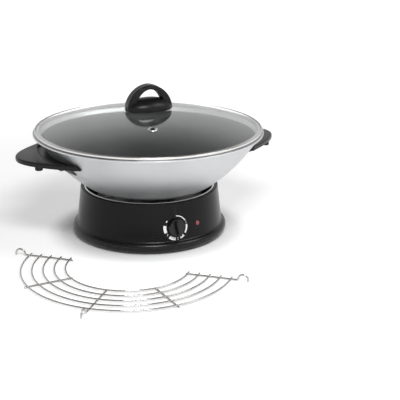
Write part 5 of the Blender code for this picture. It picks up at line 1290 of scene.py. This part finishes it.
def floor_glow(tree):
    """The glow by the distance from the wok's axis: none under the base, rising slowly over a band
    round it that stays dimmer as painted shade, and more far away."""
    distance = axis_distance(tree)
    near = ramp(tree, distance, True, From_Min=GLOW_STARTS, From_Max=GLOW_FULL, To_Max=FLOOR_GLOW)
    far = ramp(tree, distance, True, From_Min=FAR_STARTS, From_Max=FAR_FULL, To_Max=FAR_GLOW)
    return maths(tree, "ADD", near, far)


def make_floor():
    """A square of matt white with a glow that only seen rays meet."""
    half = FLOOR_SIZE / 2
    mesh = bpy.data.meshes.new("floor")
    corners = ((-half, -half), (half, -half), (half, half), (-half, half))
    mesh.from_pydata([(*corner, TABLE) for corner in corners], [], [(0, 1, 2, 3)])
    floor = as_piece("floor", mesh)
    material, tree, shader = new_finish(
        "studio_floor", Roughness=0.9, Specular_IOR_Level=0.1, Emission_Color=(1, 1, 1, 1),
        Base_Color=(FLOOR_COLOUR, FLOOR_COLOUR, FLOOR_COLOUR, 1))
    tree.links.new(maths(tree, "MULTIPLY", seen_rays(tree), floor_glow(tree)),
                   shader.inputs["Emission Strength"])
    mesh.materials.append(material)


def make_surround():
    """White for the camera; for the rest a light that falls off with the height of its direction."""
    world = bpy.data.worlds.new("studio")
    bpy.context.scene.world = world
    world.use_nodes = True
    tree = world.node_tree
    place = tree.nodes.new("ShaderNodeTexCoord")
    split = tree.nodes.new("ShaderNodeSeparateXYZ")
    tree.links.new(place.outputs["Generated"], split.inputs[0])
    lit = ramp(tree, split.outputs[2], True, From_Min=LOW_END, From_Max=HIGH_START, To_Min=LOW_LIGHT,
               To_Max=HIGH_LIGHT)
    path = tree.nodes.new("ShaderNodeLightPath")
    level = mixed(tree, path.outputs["Is Camera Ray"], lit, 1.0, "FLOAT")
    tree.links.new(level, tree.nodes["Background"].inputs["Strength"])
    tree.nodes["Background"].inputs["Color"].default_value = (1, 1, 1, 1)


make_floor()
make_surround()

# %% [markdown]
# The camera stands a metre and a half away, well above the lid, and looks down at the wok from its
# front left. Its place is worked out from the distance, the height and the angle round the wok.

# %% Camera
CAMERA_AROUND = math.radians(-20.5)
CAMERA_AWAY = 1.551
CAMERA_HEIGHT = 0.569
CAMERA_PITCH = math.radians(18.66)
CAMERA_YAW = math.radians(3.05)
CAMERA_ROLL = math.radians(0.36)
SENSOR = 36.0
FOCAL = 90.0
camera_data = bpy.data.cameras.new("camera")
camera_data.sensor_width, camera_data.lens = SENSOR, FOCAL
camera = in_scene("camera", camera_data)
around = Matrix.Rotation(CAMERA_AROUND, 4, "Z")
camera_place = around @ Vector((0, -CAMERA_AWAY, CAMERA_HEIGHT))
camera.matrix_world = (Matrix.Translation(camera_place)
                       @ Matrix.Rotation(CAMERA_AROUND - CAMERA_YAW, 4, "Z")
                       @ Matrix.Rotation(math.radians(90) - CAMERA_PITCH, 4, "X")
                       @ Matrix.Rotation(CAMERA_ROLL, 4, "Z"))
bpy.context.scene.camera = camera
print("camera at", tuple(round(value, 3) for value in camera_place))

# %% [markdown]
# Two softboxes finish the light. The key stands high at the right, so the shadow falls to the left of
# the base. A strip in front draws the soft highlight along the skirt: it hangs low enough to look in
# under the rim of the bowl, which would shade the skirt from a lamp higher up. Their brightness is
# given as radiance, what a mirror would show, and the power follows: power = radiance x pi x area.

# %% Softboxes
def softbox(name, away, round_degrees, high_degrees, wide, tall, radiance):
    """A flat light that looks at the wok; its place is given as seen from the camera's side:
    0 degrees is behind the camera, and 90 is on its right."""
    data = bpy.data.lights.new(name, "AREA")
    data.shape, data.size, data.size_y = "RECTANGLE", wide, tall
    data.energy = radiance * math.pi * wide * tall
    lamp = in_scene(name, data)
    turn = CAMERA_AROUND + math.radians(round_degrees)
    high = math.radians(high_degrees)
    middle = Vector((0, 0, 0.1))
    toward = Vector((math.sin(turn) * math.cos(high), -math.cos(turn) * math.cos(high), math.sin(high)))
    lamp.location = middle + toward * away
    lamp.rotation_euler = toward.to_track_quat("Z", "Y").to_euler()
    print(f"{name}: {data.energy:.1f} W")


softbox("key_right", 1.8, 75, 46, 0.9, 0.9, 4.1)
softbox("front_strip", 1.5, 8, 46, 0.55, 0.24, 30.0)

# %% Picture settings and the end
bpy.context.scene.view_settings.view_transform = "Standard"
